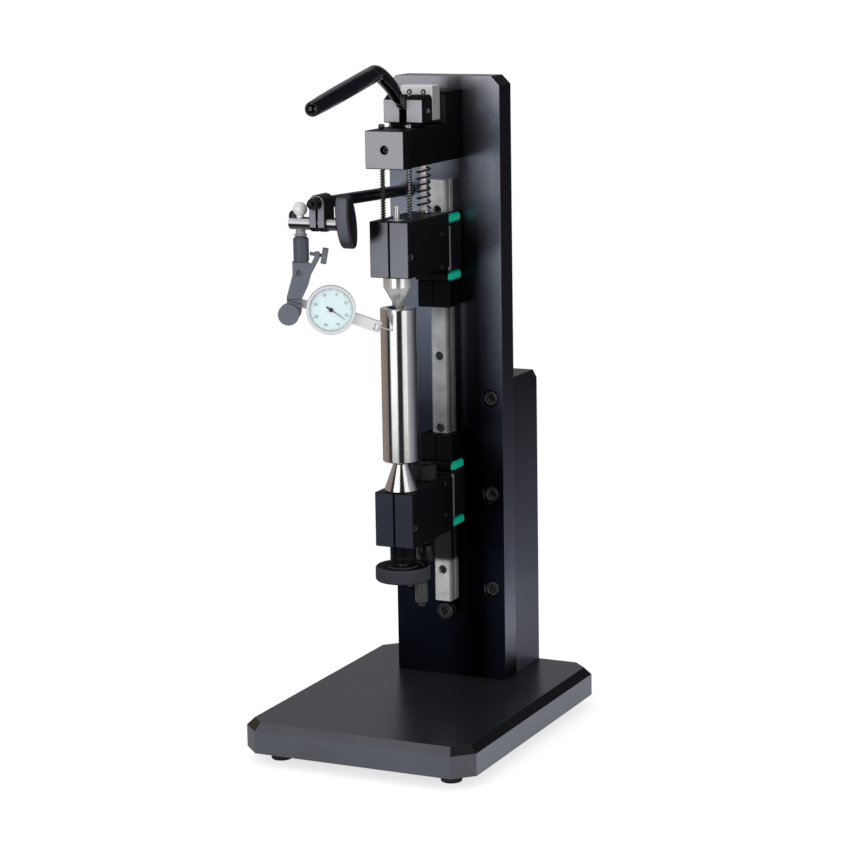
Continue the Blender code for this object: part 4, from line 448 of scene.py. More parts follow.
# Bands across the front: painted dark reflections of the bearings and carriages, one low and one high.
bands = [
    ramp(tree, across, [(spot / (2 * column_half) + 0.5, [share] * 3) for spot, share in marks])
    for marks in (low_painted_reflection, high_painted_reflection)
]
upper = spread(tree, place["Z"], 0.395, 0.435, kind="SMOOTHSTEP")
front = vector_sum(tree, "MULTIPLY", front_painted_light, blend(tree, upper, *bands))
side = ramp(tree, height, [
    (level / painted_light_top, [share * tone for tone in column_side]) for level, share in side_painted_light
])
feed(tree, group_in(column_skin, facing_light)["Front"], front)
feed(tree, group_in(column_skin, facing_light)["Right"], side)
mirror = spread(tree, axes(tree, "Normal")["Y"], -0.80, -0.98, 0.7, 1.0)
finish_with(complete(column_skin, {"Metallic": mirror}), "column_plate")
# The stiffener gets painted light tones on its faces, and over its height a painted light that is brightest
# low down, like the column's side.
stiffener_front = (0.05, 0.052, 0.06)
finish_with(fade(
    black_skin("stiffener_black", plate_dark, 0.36, 0.2, front=stiffener_front, right=(0.270, 0.284, 0.358),
               top=stiffener_front, metallic=0.7, wear_and_highlight=0.4, wear_and_highlight_colour=(0.20, 0.20, 0.22)),
    "Z", [(0.030, 0.40), (0.060, 0.58), (0.110, 0.86), (0.190, 0.46), (0.280, 0.10), (0.320, 0.05)]),
    "rear_stiffener",
)
# Screw heads: the bright tone on their edges is mostly painted glint, with some wear.
screw_black = black_skin("screw_black", (0.030, 0.031, 0.036), 0.22, 0.3, metallic=0.7, wear_and_highlight=0.9,
                         wear_and_highlight_colour=(0.55, 0.56, 0.58))


def plug(sides, radius, depth, level=0):
    """A rod or a hexagon that carves a hole along Z, with its middle at a level."""
    bpy.ops.object.select_all(action="DESELECT")
    bpy.ops.mesh.primitive_cylinder_add(vertices=sides, radius=radius, depth=depth, location=(0, 0, level))
    return fresh("plug")


def carve(piece, tool):
    """Take a tool's shape out of a piece."""
    alone(piece)
    bpy.ops.object.modifier_add(type="BOOLEAN")
    hole = piece.modifiers[-1]
    hole.operation = "DIFFERENCE"
    hole.solver = "EXACT"
    hole.object = tool
    bpy.ops.object.modifier_apply(modifier=hole.name)
    bpy.data.objects.remove(tool)
    return piece


def cap_screw(name, across, head, socket, socket_depth, sides=32):
    """A socket head cap screw's head, with its face at Z = 0 and its underside at -head."""
    made = turn_piece(
        name, [(across * 0.96, -head), (across, -head * 0.94), (across, -0.0006), (across - 0.0012, 0)], sides
    )
    round_edges(made, 0.00015, 2)
    return round_edges(carve(made, plug(6, socket / math.sqrt(3), 2 * socket_depth)))


def turned(degrees, axis):
    """A turn about one axis."""
    return Matrix.Rotation(math.radians(degrees), 4, axis)


moved = Matrix.Translation
to_front = turned(90, "X")
to_right = turned(90, "Y")
column_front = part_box("column_plate")[0][1]
column_screw = cap_screw("column_screw", 0.0130, 0.0078, 0.0080, 0.0045, 40)
for side, across in (("left", -0.0384), ("right", 0.0384)):
    for row, level in enumerate((0.1115, 0.1919, 0.2723)):
        screw = another(
            column_screw, f"column_screw_{side}_{row + 1}",
            moved((across, column_front + 0.0007, level)) @ to_front @ turned(17 * row + 9, "Z"),
        )
        finish_with(screw_black, screw)
        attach(screw, "frame")
bpy.data.objects.remove(column_screw)


# Rail: hardened linear guide rail, ground along its length and scratched by years of use, held
# by small screws sunk in its six counterbored holes.
def ground_group():
    """Ground steel: fine lines along one way, and faint cloudy stains."""
    group, given, out = group_of(
        "ground_steel", {
            "Vector": None, "Colour": (0.6, 0.6, 0.6, 1), "Fine": (900, 900, 18), "Roughness": 0.25,
            "Stains": 0.3,
        }, ["Colour", "Roughness", "Height"],
    )
    along = vector_sum(group, "MULTIPLY", given["Vector"], given["Fine"])
    lines = noise(group, along, 1, Detail=3)
    stains = noise(group, given["Vector"], 55, Detail=6, Distortion=0.6)
    weight = calc(group, "MULTIPLY", spread(group, stains, 0.35, 0.70), given["Stains"])
    less = calc(group, "MULTIPLY_ADD", weight, -0.55, spread(group, lines, 0, 1, 1.08, 0.88))
    return hand_out(
        group, out, Colour=vector_sum(group, "SCALE", given["Colour"], less),
        Roughness=calc(group, "MULTIPLY_ADD", weight, 0.25, given["Roughness"]), Height=lines,
    )


ground = ground_group()


def ground_steel(name, colour, rough, fine=(900, 900, 18), stains=0.3, bump=0.12, metallic=1.0):
    """Bright steel with the marks of its grinding."""
    finish, tree, place = new_finish(name)
    skin = add(tree, "Group", node_tree=ground, sockets={
        "Vector": place, "Colour": colour, "Fine": fine, "Roughness": rough, "Stains": stains,
    }).outputs
    return complete(finish, {
        "Metallic": metallic, "Base Color": skin["Colour"], "Roughness": skin["Roughness"],
        "Normal": raised(tree, skin["Height"], bump, 0.00005, 0.0003),
    })


def heights(name):
    """The lowest and the highest level of a CAD node."""
    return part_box(name)[0][2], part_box(name)[1][2]


rail_low = heights("guide_rail")[0]
seal_up = heights("lower_seal_bottom")[0] - rail_low
rail_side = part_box("guide_rail")[1][0]
rail_bright = ground_steel("rail_steel", (0.97, 0.98, 1.0), 0.30, (700, 700, 14), 0.55, 0.25, 0.3)
# The rail's tone is painted along its height: nearly black from just above its foot up to the lower bearing,
# a painted shadow, then painted shade that lightens upwards, with a painted highlight on one short stretch.
# Its right-hand face is painted darker as painted shade.
fade(rail_bright, "Z", [
    (0, 1.0), (0.0325, 1.0), (0.0360, 0.02), (seal_up + 0.0010, 0.02), (seal_up + 0.0060, 0.45),
    (0.1375, 0.75), (0.1415, 0.75), (0.1450, 0.24), (0.1770, 0.43), (0.2260, 0.66), (0.2420, 0.55),
    (0.3000, 0.80), (0.3390, 1.0),
], rail_low)
fade(rail_bright, "X", [
    (-rail_side, 1.0), (rail_side - 0.0016, 1.0), (rail_side - 0.0012, 0.35), (rail_side, 0.35),
])
finish_with(rail_bright, "guide_rail")
rail_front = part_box("guide_rail")[0][1]
first_hole, hole_pitch = 0.1282, 0.0600
rail_screw = cap_screw("rail_screw", 0.0066, 0.0036, 0.0036, 0.0022)
for count in range(6):
    screw = another(
        rail_screw, f"rail_screw_{count + 1}",
        moved((0, rail_front + 0.0016, first_hole + hole_pitch * count)) @ to_front @ turned(23 * count, "Z"),
    )
    finish_with(screw_black, screw)
    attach(screw, "frame")
bpy.data.objects.remove(rail_screw)


# Stop screw under the rail: a cap screw with a knurled head and a washer face, black oxide, whose
# shank runs into the column.
def pick(piece, kind, chosen):
    """Go into edit mode with only those of a piece's vertices, edges or polygons that are chosen."""
    alone(piece)
    bpy.ops.object.mode_set(mode="EDIT")
    bpy.ops.mesh.select_all(action="DESELECT")
    kinds = ("vertices", "edges", "polygons")
    bpy.context.tool_settings.mesh_select_mode = [kind == one for one in kinds]
    bpy.ops.object.mode_set(mode="OBJECT")
    for part in getattr(piece.data, kind):
        part.select = chosen(part)
    bpy.ops.object.mode_set(mode="EDIT")


def let_go():
    """Leave edit mode with nothing selected."""
    bpy.ops.mesh.select_all(action="DESELECT")
    bpy.context.tool_settings.mesh_select_mode = (False, False, True)
    bpy.ops.object.mode_set(mode="OBJECT")


def knurl(piece, share, least, most, radius):
    """Press every other line of a turned band inwards, between two heights."""
    def angle(vertex):
        return round(math.degrees(math.atan2(vertex.co.y, vertex.co.x)), 2) % 360

    outer = [
        vertex for vertex in piece.data.vertices
        if least <= vertex.co.z <= most and math.hypot(vertex.co.x, vertex.co.y) >= radius
    ]
    lines = sorted({angle(vertex) for vertex in outer})
    pressed = {vertex.index for vertex in outer if lines.index(angle(vertex)) % 2 == 0}
    pick(piece, "vertices", lambda vertex: vertex.index in pressed)
    bpy.ops.transform.resize(value=(share, share, 1), center_override=(0, 0, 0))
    let_go()
    return piece


def one_piece(name, *pieces):
    """Join pieces that are fixed together into one."""
    bpy.ops.object.select_all(action="DESELECT")
    for piece in pieces:
        piece.select_set(True)
    bpy.context.view_layer.objects.active = pieces[0]
    bpy.ops.object.join()
    return fresh(name)


stop_head = turn_piece("stop_screw_knurled", [
    (0.0134, -0.0080), (0.0136, -0.0077), (0.0136, -0.0012), (0.0134, -0.0010), (0.0134, -0.0006),
    (0.0124, 0.0),
], 72)
knurl(stop_head, 0.965, -0.0078, -0.0011, 0.0060)
carve(stop_head, plug(6, 0.0040, 0.0080))
round_edges(stop_head, smooth_deg=25)
shank = turn_piece("stop_shank", [(0.0080, -0.0220), (0.0080, -0.0079)], 32)
round_edges(shank, 0.0002, 2)
stop = one_piece("stop_screw_knurled", stop_head, shank)
set_at(stop, moved((0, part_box("stop_screw")[0][1], middle_of("stop_screw").z)) @ to_front)
finish_with(screw_black, stop)
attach(stop, "frame")
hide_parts("stop_screw")

# Bearing blocks that run on the rail: blackened steel with a painted highlight on the chamfers of
# its front right-hand and back left-hand corners, a plastic seal at each end that is green on its
# faces toward either side and black on the others, and an anodised clamp that grips the rail
# beside each, its front a touch lighter as painted light.
bearing_skin = black_skin("bearing_black", (0.006, 0.006, 0.008), 0.45, 0.3, specular=0.08, wear_and_highlight=0.0)
tree = bearing_skin.node_tree
facing = axes(tree, "Normal")
corner_highlight = spread(tree, calc(tree, "MULTIPLY", facing["X"], facing["Y"]), -0.30, -0.45)
complete(bearing_skin, {"Base Color": blend(tree, corner_highlight, colour_of(bearing_skin), (0.13, 0.14, 0.145))})
finish_with(bearing_skin, "upper_bearing", "lower_bearing")

seal_black = (0.004, 0.004, 0.005)
seal_skin = black_skin("seal_plastic", seal_black, 0.5, 0.1, wear_and_highlight=0.0, specular=0.15)
tree = seal_skin.node_tree
sideways = spread(tree, calc(tree, "ABSOLUTE", axes(tree, "Normal")["X"]), 0.55, 0.75)
feed(tree, group_in(seal_skin, blasted)["Colour"], blend(tree, sideways, seal_black, (0.010, 0.520, 0.350)))
lay_out(tree)
finish_with(seal_skin, "upper_seal_top", "upper_seal_bottom", "lower_seal_top", "lower_seal_bottom")
finish_with(
    black_skin("rail_clamp_black", (0.002, 0.002, 0.003), 0.4, 0.2, front=(0.004, 0.004, 0.006), wear_and_highlight=0.3,
               wear_and_highlight_colour=(0.03, 0.03, 0.035), specular=0.08),
    "upper_rail_clamp", "lower_rail_clamp",
)


# Holders: anodised blocks on the bearings, with painted light on their front and top faces,
# split through to the bore of the center. A cap screw through the split closes it, and grub
# screws sit behind it.
def shade_near(finish, middle, near, far):
    """Paint a dark reflection round a point, where the finish would mirror something dark before it."""
    tree = finish.node_tree
    reach = vector_sum(tree, "DISTANCE", add(tree, "TexCoord").outputs["Object"], middle, "Value")
    share = spread(tree, reach, near, far, 0.01, kind="SMOOTHSTEP")
    return complete(finish, {"Base Color": vector_sum(tree, "SCALE", colour_of(finish), share)})


holder_low, holder_high = heights("upper_holder")
corner_left, corner_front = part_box("upper_holder")[0][:2]
# The upper holder's front gets a painted dark reflection at its top left-hand corner.
finish_with(shade_near(
    black_skin("upper_holder_black", (0.004, 0.004, 0.005), 0.40, 0.12, front=(0.245, 0.253, 0.285),
               top=(0.010, 0.010, 0.012), specular=0.08, wear_and_highlight=0.25),
    (corner_left + 0.0010, corner_front, holder_high - 0.0050), 0.0070, 0.0150),
    "upper_holder",
)
finish_with(
    black_skin("lower_holder_black", (0.004, 0.004, 0.006), 0.40, 0.12, front=(0.030, 0.035, 0.050),
               top=(0.012, 0.012, 0.015), specular=0.08, wear_and_highlight=0.3, wear_and_highlight_colour=(0.05, 0.055, 0.07)),
    "lower_holder",
)
clamp_screw = cap_screw("holder_screw", 0.0069, 0.0039, 0.0034, 0.0022)
grub_steel = ground_steel("grub_steel", (0.16, 0.16, 0.17), 0.30, (1500, 1500, 1500))
grub = cap_screw("grub_screw", 0.0038, 0.0016, 0.0019, 0.0012, 24)
grub_depth, grub_offset = 0.0345, 0.013
for name in ("upper", "lower"):
    middle = middle_of(name + "_clamp_screw")
    screw_face = moved((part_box(name + "_clamp_screw")[1][0], middle.y, middle.z)) @ to_right
    head = another(clamp_screw, name + "_clamp_screw_fine", screw_face)
    shank = turn_piece("screw_shank", [(0.0039, -0.026), (0.0039, -0.0038)], 24)
    round_edges(shank, 0.0002, 1)
    set_at(shank, screw_face)
    screw = one_piece(name + "_clamp_screw_fine", head, shank)
    finish_with(screw_black, screw)
    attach(screw, name + "_carriage")
    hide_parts(name + "_clamp_screw")
    least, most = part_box(name + "_holder")
    bearing_middle = middle_of(name + "_bearing").z
    for side, across, turn in (("right", most[0], to_right), ("left", least[0], to_right.inverted())):
        for row, offset in (("low", -grub_offset), ("high", grub_offset)):
            screw = another(
                grub, f"{name}_grub_{side}_{row}",
                moved((across, grub_depth, bearing_middle + offset)) @ turn @ moved((0, 0, 0.0002)),
            )
            finish_with(grub_steel, screw)
            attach(screw, name + "_carriage")
bpy.data.objects.remove(clamp_screw)
bpy.data.objects.remove(grub)

# Lock screw of the lower holder: a blackened nut disc with a straight knurl above the holder and
# a round knob below it, on one spindle.
low, high = heights("holder_lock_screw")
nut_low = heights("lower_holder")[1] + 0.0003
nut = turn_piece("lock_nut", [
    (0.0196, nut_low), (0.0210, nut_low + 0.0007), (0.0210, high - 0.0010), (0.0198, high), (0.0120, high),
    (0.0116, high - 0.0006), (0.0060, high - 0.0006),
], 96)
knurl(nut, 0.975, nut_low + 0.0006, high - 0.0008, 0.0100)
round_edges(nut, smooth_deg=20)
lock_shaft = turn_piece("lock_shaft", [(0.0050, 0.155), (0.0050, nut_low + 0.001)], 32)
round_edges(lock_shaft)
lock_knob = turn_piece("lock_knob", [
    (0.0090, low), (0.0120, low + 0.0006), (0.0144, low + 0.0030), (0.0144, low + 0.0128),
    (0.0128, low + 0.0142), (0.0090, low + 0.0145),
])
round_edges(lock_knob, 0.0003, 2)
lock = one_piece("holder_lock_turned", nut, lock_shaft, lock_knob)
set_at(lock, under("holder_lock_screw"))
finish_with(
    black_skin("knob_black", (0.010, 0.010, 0.011), 0.24, 0.3, metallic=0.3, wear_and_highlight_colour=(0.20, 0.20, 0.21)),
    lock,
)
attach(lock, "holder_lock")
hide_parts("holder_lock_screw")

# Head arm: the block that carries the guide rods and the lever's bracket, with painted light on its
# front face around the tapped hole of its set screw, and painted shade on all of it behind its
# front 12 mm.
finish_with(fade(
    black_skin("head_black", (0.003, 0.003, 0.004), 0.42, 0.08, front=(0.400, 0.403, 0.430),
               top=(0.004, 0.004, 0.005), specular=0.08, wear_and_highlight=0.3, wear_and_highlight_colour=(0.12, 0.12, 0.13)),
    "Y", [(0, 1.0), (0.0100, 1.0), (0.0120, 0.06), (0.1000, 0.06)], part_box("head_arm")[0][1]),
    "head_arm",
)
least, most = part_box("head_set_screw")
middle = middle_of("head_set_screw")
set_screw = cap_screw("head_set_screw_fine", most[0] - least[0], most[1] - least[1], 0.0034, 0.0026)
set_at(set_screw, moved((middle.x, least[1], middle.z)) @ to_front)
finish_with(screw_black, set_screw)
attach(set_screw, "frame")
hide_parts("head_set_screw")

# Bracket and pin of the lever: a slotted anodised block with painted light on its two cheek
# fronts and a painted shadow along its lowest 4 mm, with a turned steel pin pressed through it.
finish_with(fade(
    black_skin("bracket_black", (0.004, 0.004, 0.005), 0.40, 0.08, front=(0.520, 0.524, 0.560),
               top=(0.004, 0.004, 0.005), specular=0.08, wear_and_highlight=0.3),
    "Z", [(0, 0.015), (0.0036, 0.015), (0.0042, 1.0), (0.05, 1.0)], heights("lever_bracket")[0]),
    "lever_bracket",
)
half_pin = (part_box("lever_pin")[1][0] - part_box("lever_pin")[0][0]) / 2
pin = turn_piece("lever_pin_turned", [
    (0.0040, -half_pin), (0.0050, -half_pin + 0.0005), (0.0050, half_pin - 0.0005), (0.0040, half_pin),
], 40)
round_edges(pin, 0.0001, 1)
set_at(pin, moved(middle_of("lever_pin")) @ to_right)
finish_with(ground_steel("pin_steel", (0.45, 0.45, 0.46), 0.25, (40, 1500, 1500)), pin)
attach(pin, "frame")
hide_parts("lever_pin")

# Lever: a forged and bent steel arm, dipped in glossy black, with a long plastic grip pushed on
# its end. Its tongue turns on the pin, and its tail lifts the block behind.
axis = Vector((0, -0.0132, 0))
run, rise = -0.0575, 0.0330
pivot = Vector((0, axis.y + 0.0250, 0.5119))
grip_slope = math.radians(-10.7)
grip_way = Vector((0, -math.cos(grip_slope), math.sin(grip_slope)))
grip_start = pivot + Vector((0, run, rise)) + grip_way * 0.0060
gloss = mottled(
    "lever_gloss", 90, [(0.0002, 0.0003, 0.0006), (0.0008, 0.0009, 0.0014)], (0.16, 0.27), 0.10, 0.0003,
    {"Specular IOR Level": 0.08, "Coat Weight": 0.8, "Coat IOR": 1.65, "Coat Roughness": 0.04},
)


def ball_rings(radius, level, *degrees):
    """Rings up a ball with its middle at a level: from, to and step in degrees."""
    return [
        (2 * radius * math.cos(math.radians(a)), level + radius * math.sin(math.radians(a)))
        for a in range(*degrees)
    ]


def along(way):
    """The turn that sets a turned piece's axis along a way."""
    return way.to_track_quat("Z", "Y").to_matrix().to_4x4()


reach, tip = 0.106, 0.0058
grip = turn_piece("lever_grip_moulded", [
    (0.0118, 0.0006), (0.0130, 0.0012), (0.0134, 0.0030), (0.0134, 0.020), (0.0133, 0.060), (0.0126, 0.085),
] + ball_rings(tip, reach - tip, 0, 86, 9))
round_edges(grip, smooth_deg=60)
set_at(grip, moved(grip_start) @ along(grip_way))
finish_with(gloss, grip)
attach(grip, "lever")
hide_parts("lever_grip")


def bent_rod(name, marks, sides=8):
    """A bar bent through marks: each has its place and the bar's radius there."""
    bpy.ops.object.select_all(action="DESELECT")
    bpy.ops.curve.primitive_nurbs_path_add(location=(0, 0, 0))
    bar = bpy.context.object
    bar.name = name
    bar.data.splines.clear()
    spline = bar.data.splines.new("POLY")
    spline.points.add(len(marks) - 1)
    for point, (*place, radius) in zip(spline.points, marks):
        point.co = (*place, 1)
        point.radius = radius
    bar.data.dimensions = "3D"
    bar.data.bevel_depth = 1
    bar.data.bevel_resolution = sides
    bar.data.use_fill_caps = True
    alone(bar)
    bpy.ops.object.convert(target="MESH")
    return round_edges(weld(bpy.context.object, 0.00001), smooth_deg=50)


def smooth_way(marks, steps=5):
    """Marks on a smooth way through the given ones."""
    way = []
    for index in range(len(marks) - 1):
        p0, p1, p2, p3 = (marks[min(max(index + step, 0), len(marks) - 1)] for step in (-1, 0, 1, 2))
        for step in range(steps):
            t = step / steps
            way.append([
                0.5 * (2 * b + (c - a) * t + (2 * a - 5 * b + 4 * c - d) * t ** 2
                       + (3 * b - a - 3 * c + d) * t ** 3)
                for a, b, c, d in zip(p0, p1, p2, p3)
            ])
    return way + [list(marks[-1])]


def block(name, size, place=(0, 0, 0), tilt_deg=0):
    """A squared block, tilted about X."""
    bpy.ops.object.select_all(action="DESELECT")
    bpy.ops.mesh.primitive_cube_add(size=1)
    piece = bpy.context.object
    piece.scale = size
    piece.rotation_euler = (math.radians(tilt_deg), 0, 0)
    piece.location = place
    return fresh(name)


neck_marks = [
    (0, pivot.y + run * out, pivot.z + rise * up, radius) for out, up, radius in (
        (0.24, 0.22, 0.0033), (0.34, 0.36, 0.0048), (0.50, 0.60, 0.0057), (0.68, 0.79, 0.0059),
        (0.86, 0.94, 0.0060), (1.00, 1.00, 0.0063))
]
neck_marks.append((*(grip_start - grip_way * 0.0002), 0.0066))
neck_marks.append((*(grip_start + grip_way * 0.0012), 0.0058))
neck = bent_rod("lever_neck", smooth_way(neck_marks))
tongue = turn_piece("lever_tongue", [(0.0125, -0.0029), (0.0125, 0.0029)])
round_edges(tongue, 0.0005)
set_at(tongue, moved(pivot) @ to_right)
web = block("lever_web", (0.0056, 0.0150, 0.0090), pivot + Vector((0, -0.0095, 0.0052)), -30)
round_edges(web, 0.0014, 4)
tail = bent_rod("lever_tail", smooth_way([
    (*(pivot + Vector((0, back, up))), 0.0014)
    for back, up in ((0.0030, -0.0040), (0.0075, -0.0092), (0.0110, -0.0103), (0.0168, -0.0103))
]), 5)
arm = one_piece("lever_arm_forged", neck, tongue, web, tail)
finish_with(gloss, arm)
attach(arm, "lever")
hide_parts("lever_arm")

# Guide rods, lift rod and lift block: bright rods that rise through the head with the upper
# holder. Each guide rod has a headed top; the lift rod ends in a brushed block for the lever.
shoulder = 0.5000
rod_steel = ground_steel("rod_steel", (0.66, 0.66, 0.67), 0.20, (1200, 1200, 90), 0.15)
dark_steel = ground_steel("dark_steel", (0.20, 0.205, 0.22), 0.26, (1200, 1200, 90), 0.35)
# The left rod is painted in darker steel than the right: painted shade on one of two like rods.
for name, head_tone in (("guide_rod_left", dark_steel), ("guide_rod_right", rod_steel)):
    low, high = heights(name)
    rod = turn_piece("rod", [(0.0022, low), (0.0025, low + 0.0004), (0.0025, shoulder)], 32)
    round_edges(rod)
    head = turn_piece("rod_head", [
        (0.0046, shoulder - 0.00005), (0.0051, shoulder + 0.0003), (0.0051, high - 0.0014),
        (0.0047, high - 0.0006), (0.0036, high - 0.0001), (0.0020, high),
    ], 40)
    round_edges(head, smooth_deg=40)
    rod = one_piece(name + "_turned", rod, head)
    set_at(rod, under(name))
    finish_with(head_tone, rod)
    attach(rod, "upper_carriage")
    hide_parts(name)

low, high = heights("lift_rod")
lift_rod = turn_piece("lift_rod_turned", [
    (0.0042, low), (0.0050, low + 0.0006), (0.0050, high - 0.0006), (0.0042, high),
], 48)
round_edges(lift_rod)
set_at(lift_rod, under("lift_rod"))
finish_with(
    ground_steel("lift_rod_steel", (0.95, 0.95, 0.95), 0.24, (1400, 1400, 60), 0.05, 0.1, 0.3), lift_rod
)
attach(lift_rod, "upper_carriage")
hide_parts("lift_rod")

low, high = heights("lift_spring_washer")
washer = turn_piece("spring_washer_turned", [
    (0.0099, low), (0.0105, low + 0.0003), (0.0105, high - 0.0003), (0.0099, high),
], 56)
round_edges(carve(washer, plug(48, 0.0028, 0.01, low)))
set_at(washer, under("lift_rod"))
finish_with(rod_steel, washer)
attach(washer, "upper_carriage")
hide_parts("lift_spring_washer")

least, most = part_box("lift_block")
block_silver = ground_steel("lift_block_metal", (0.93, 0.93, 0.95), 0.40, (1500, 40, 1500), 0.10, 0.2, 0.15)
# The lift block's right-hand face is painted darker, as painted shade.
fade(block_silver, "X", [(least[0], 1.0), (most[0] - 0.0006, 1.0), (most[0] - 0.0003, 0.4), (most[0], 0.4)])
finish_with(block_silver, "lift_block")
block_screw = cap_screw("block_screw", 0.0046, 0.0020, 0.0022, 0.0014, 28)
for side, across in (("left", -0.0061), ("right", 0.0061)):
    screw = another(
        block_screw, f"block_screw_{side}", moved((across, least[1] - 0.0006, most[2] - 0.0052)) @ to_front
    )
    finish_with(screw_black, screw)
    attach(screw, "upper_carriage")
bpy.data.objects.remove(block_screw)


# Springs: two slim coils on the guide rods and a stout one on the lift rod, wound from round
# spring wire, blackened. They press the upper center down.
def wound(name, wire, across, low, high, turns):
    """Round wire wound up the Z axis, drawn by the Screw modifier and closed at both ends."""
    bpy.ops.object.select_all(action="DESELECT")
    bpy.ops.mesh.primitive_circle_add(
        vertices=8, radius=wire / 2, location=((across - wire) / 2, 0, low + wire / 2),
        rotation=(math.radians(90), 0, 0),
    )
    coil = fresh(name)
    bpy.ops.object.modifier_add(type="SCREW")
    winding = coil.modifiers[-1]
    winding.axis = "Z"
    winding.angle = 2 * math.pi
    winding.iterations = turns
    winding.screw_offset = (high - low - wire) / turns
    winding.steps = winding.render_steps = 22
    bpy.ops.object.modifier_apply(modifier=winding.name)
    return round_edges(weld(coil, 0.000002, close=True), smooth_deg=60)


# The right guide spring is painted a lighter grey than the left: painted light on one of two like springs.
spring_black = ground_steel("spring_black", (0.020, 0.021, 0.026), 0.28, (300, 300, 300), 0.3, 0.1, 0.6)
spring_grey = ground_steel("spring_grey", (0.045, 0.047, 0.056), 0.28, (300, 300, 300), 0.2, 0.1, 0.6)
for name, wire, across, turns, tone, keep in (
    ("guide_spring_left", 0.0009, 0.0046, 19, spring_black, 0.756),
    ("guide_spring_right", 0.0009, 0.0046, 19, spring_grey, 0.756),
    ("lift_spring", 0.0016, 0.0121, 7, spring_black, 0.738),
):
    middle = middle_of(name)
    spring = wound(name + "_wire", wire, across, *heights(name), turns)
    set_at(spring, under(name))
    finish_with(tone, spring)
    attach(spring, "frame")
    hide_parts(name)
    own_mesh(spring)

# Centers and test cylinder: hardened steel, ground and polished between centers, so that the
# marks run round them. The upper center is held in its holder, the lower one turns.
ring_marks = (25, 25, 2600)
low, high = heights("upper_center")
upper_center = turn_piece("upper_center_turned", [
    (0.0007, low), (0.0222, holder_low - 0.0090), (0.0228, holder_low - 0.0085),
    (0.0228, holder_low - 0.0008), (0.0222, holder_low - 0.0003), (0.0120, holder_low - 0.0003),
    (0.0120, holder_high + 0.0001), (0.0048, holder_high + 0.0002), (0.0048, high - 0.0006), (0.0038, high),
], 96)
round_edges(upper_center, smooth_deg=30)
set_at(upper_center, axis)
finish_with(
    ground_steel("upper_center_steel", (0.92, 0.92, 0.92), 0.17, ring_marks, 0.05, 0.1, 0.72), upper_center
)
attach(upper_center, "upper_carriage")
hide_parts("upper_center")

low, high = heights("lower_center")
foot, seat = heights("lower_holder")
seat += 0.0003
lower_center = turn_piece("lower_center_turned", [
    (0.0075, low), (0.0075, foot - 0.0172), (0.0119, foot - 0.0172), (0.0119, seat), (0.0264, seat),
    (0.0270, seat + 0.0004), (0.0270, seat + 0.0012), (0.0023, high - 0.0001),
], 96)
round_edges(lower_center, smooth_deg=30)
set_at(lower_center, axis)
finish_with(ground_steel("mirror_steel", (0.80, 0.80, 0.80), 0.13, ring_marks, 0.05, 0.10), lower_center)
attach(lower_center, "spindle")
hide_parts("lower_center")

low, high = heights("test_mandrel")
cylinder = turn_piece("test_cylinder_ground", [
    (0.0088, low), (0.0274, low), (0.0288, low + 0.0007), (0.0288, high - 0.0007), (0.0274, high),
    (0.0096, high),
], 128)
for wide, place in ((0.0160, moved((0, 0, low)) @ turned(180, "X")), (0.0180, moved((0, 0, high)))):
    hollow = turn_piece("center_hole", [(wide * 0.2, -0.006), (wide, 0.0), (wide * 1.05, 0.001)], 48)
    carve(cylinder, set_at(hollow, place))
round_edges(cylinder, smooth_deg=30)
set_at(cylinder, axis)
finish_with(ground_steel("cylinder_steel", (0.78, 0.78, 0.78), 0.15, ring_marks, 0.08, 0.10), cylinder)
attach(cylinder, "spindle")
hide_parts("test_mandrel")

# Drive collar, handwheel and crank grip: blackened steel collar, anodised wheel with a broad
# straight knurl round its rim, and a plastic grip that turns on the wheel's stud.
low, high = heights("drive_collar")
ring = turn_piece("drive_collar_turned", [
    (0.0196, low), (0.0202, low + 0.0003), (0.0202, low + 0.0040), (0.0196, low + 0.0043),
    (0.0196, low + 0.0053), (0.0202, low + 0.0056), (0.0202, high - 0.0008), (0.0188, high),
], 80)
round_edges(carve(ring, plug(64, 0.0063, 0.06, low)), smooth_deg=30)
set_at(ring, axis)
finish_with(black_skin("collar_black", (0.003, 0.003, 0.004), 0.28, 0.3, specular=0.12), ring)
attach(ring, "spindle")
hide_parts("drive_collar")

stud_low, high = heights("handwheel")
low = high - 0.0116
wheel = turn_piece("handwheel_turned", [
    (0.0250, low + 0.0020), (0.0290, low + 0.0008), (0.0420, low), (0.0442, low + 0.0012),
    (0.0442, high - 0.0012), (0.0420, high), (0.0340, high), (0.0320, high - 0.0009), (0.0240, high - 0.0009),
    (0.0220, high - 0.0001),
], 120)
knurl(wheel, 0.985, low + 0.0010, high - 0.0010, 0.0210)
round_edges(carve(wheel, plug(64, 0.00415, 0.06, low)), smooth_deg=12)
crank_radius, crank_bearing = 0.0165, math.radians(-1.5)
stud = turn_piece("crank_stud", [
    (0.0050, stud_low), (0.0060, stud_low + 0.0004), (0.0060, stud_low + 0.0015), (0.0040, stud_low + 0.0015),
    (0.0040, low + 0.0040),
], 40)
round_edges(stud)
set_at(stud, (crank_radius * math.cos(crank_bearing), crank_radius * math.sin(crank_bearing), 0))
wheel = one_piece("handwheel_turned", wheel, stud)
set_at(wheel, axis)
# The wheel's top face gets a painted shade tone, far darker than its grey rim.
finish_with(
    black_skin("wheel_grey", (0.046, 0.050, 0.062), 0.60, 0.4, specular=0.08, top=(0.003, 0.003, 0.004),
               wear_and_highlight=0.6, wear_and_highlight_colour=(0.14, 0.145, 0.16)),
    wheel,
)
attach(wheel, "spindle")
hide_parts("handwheel")

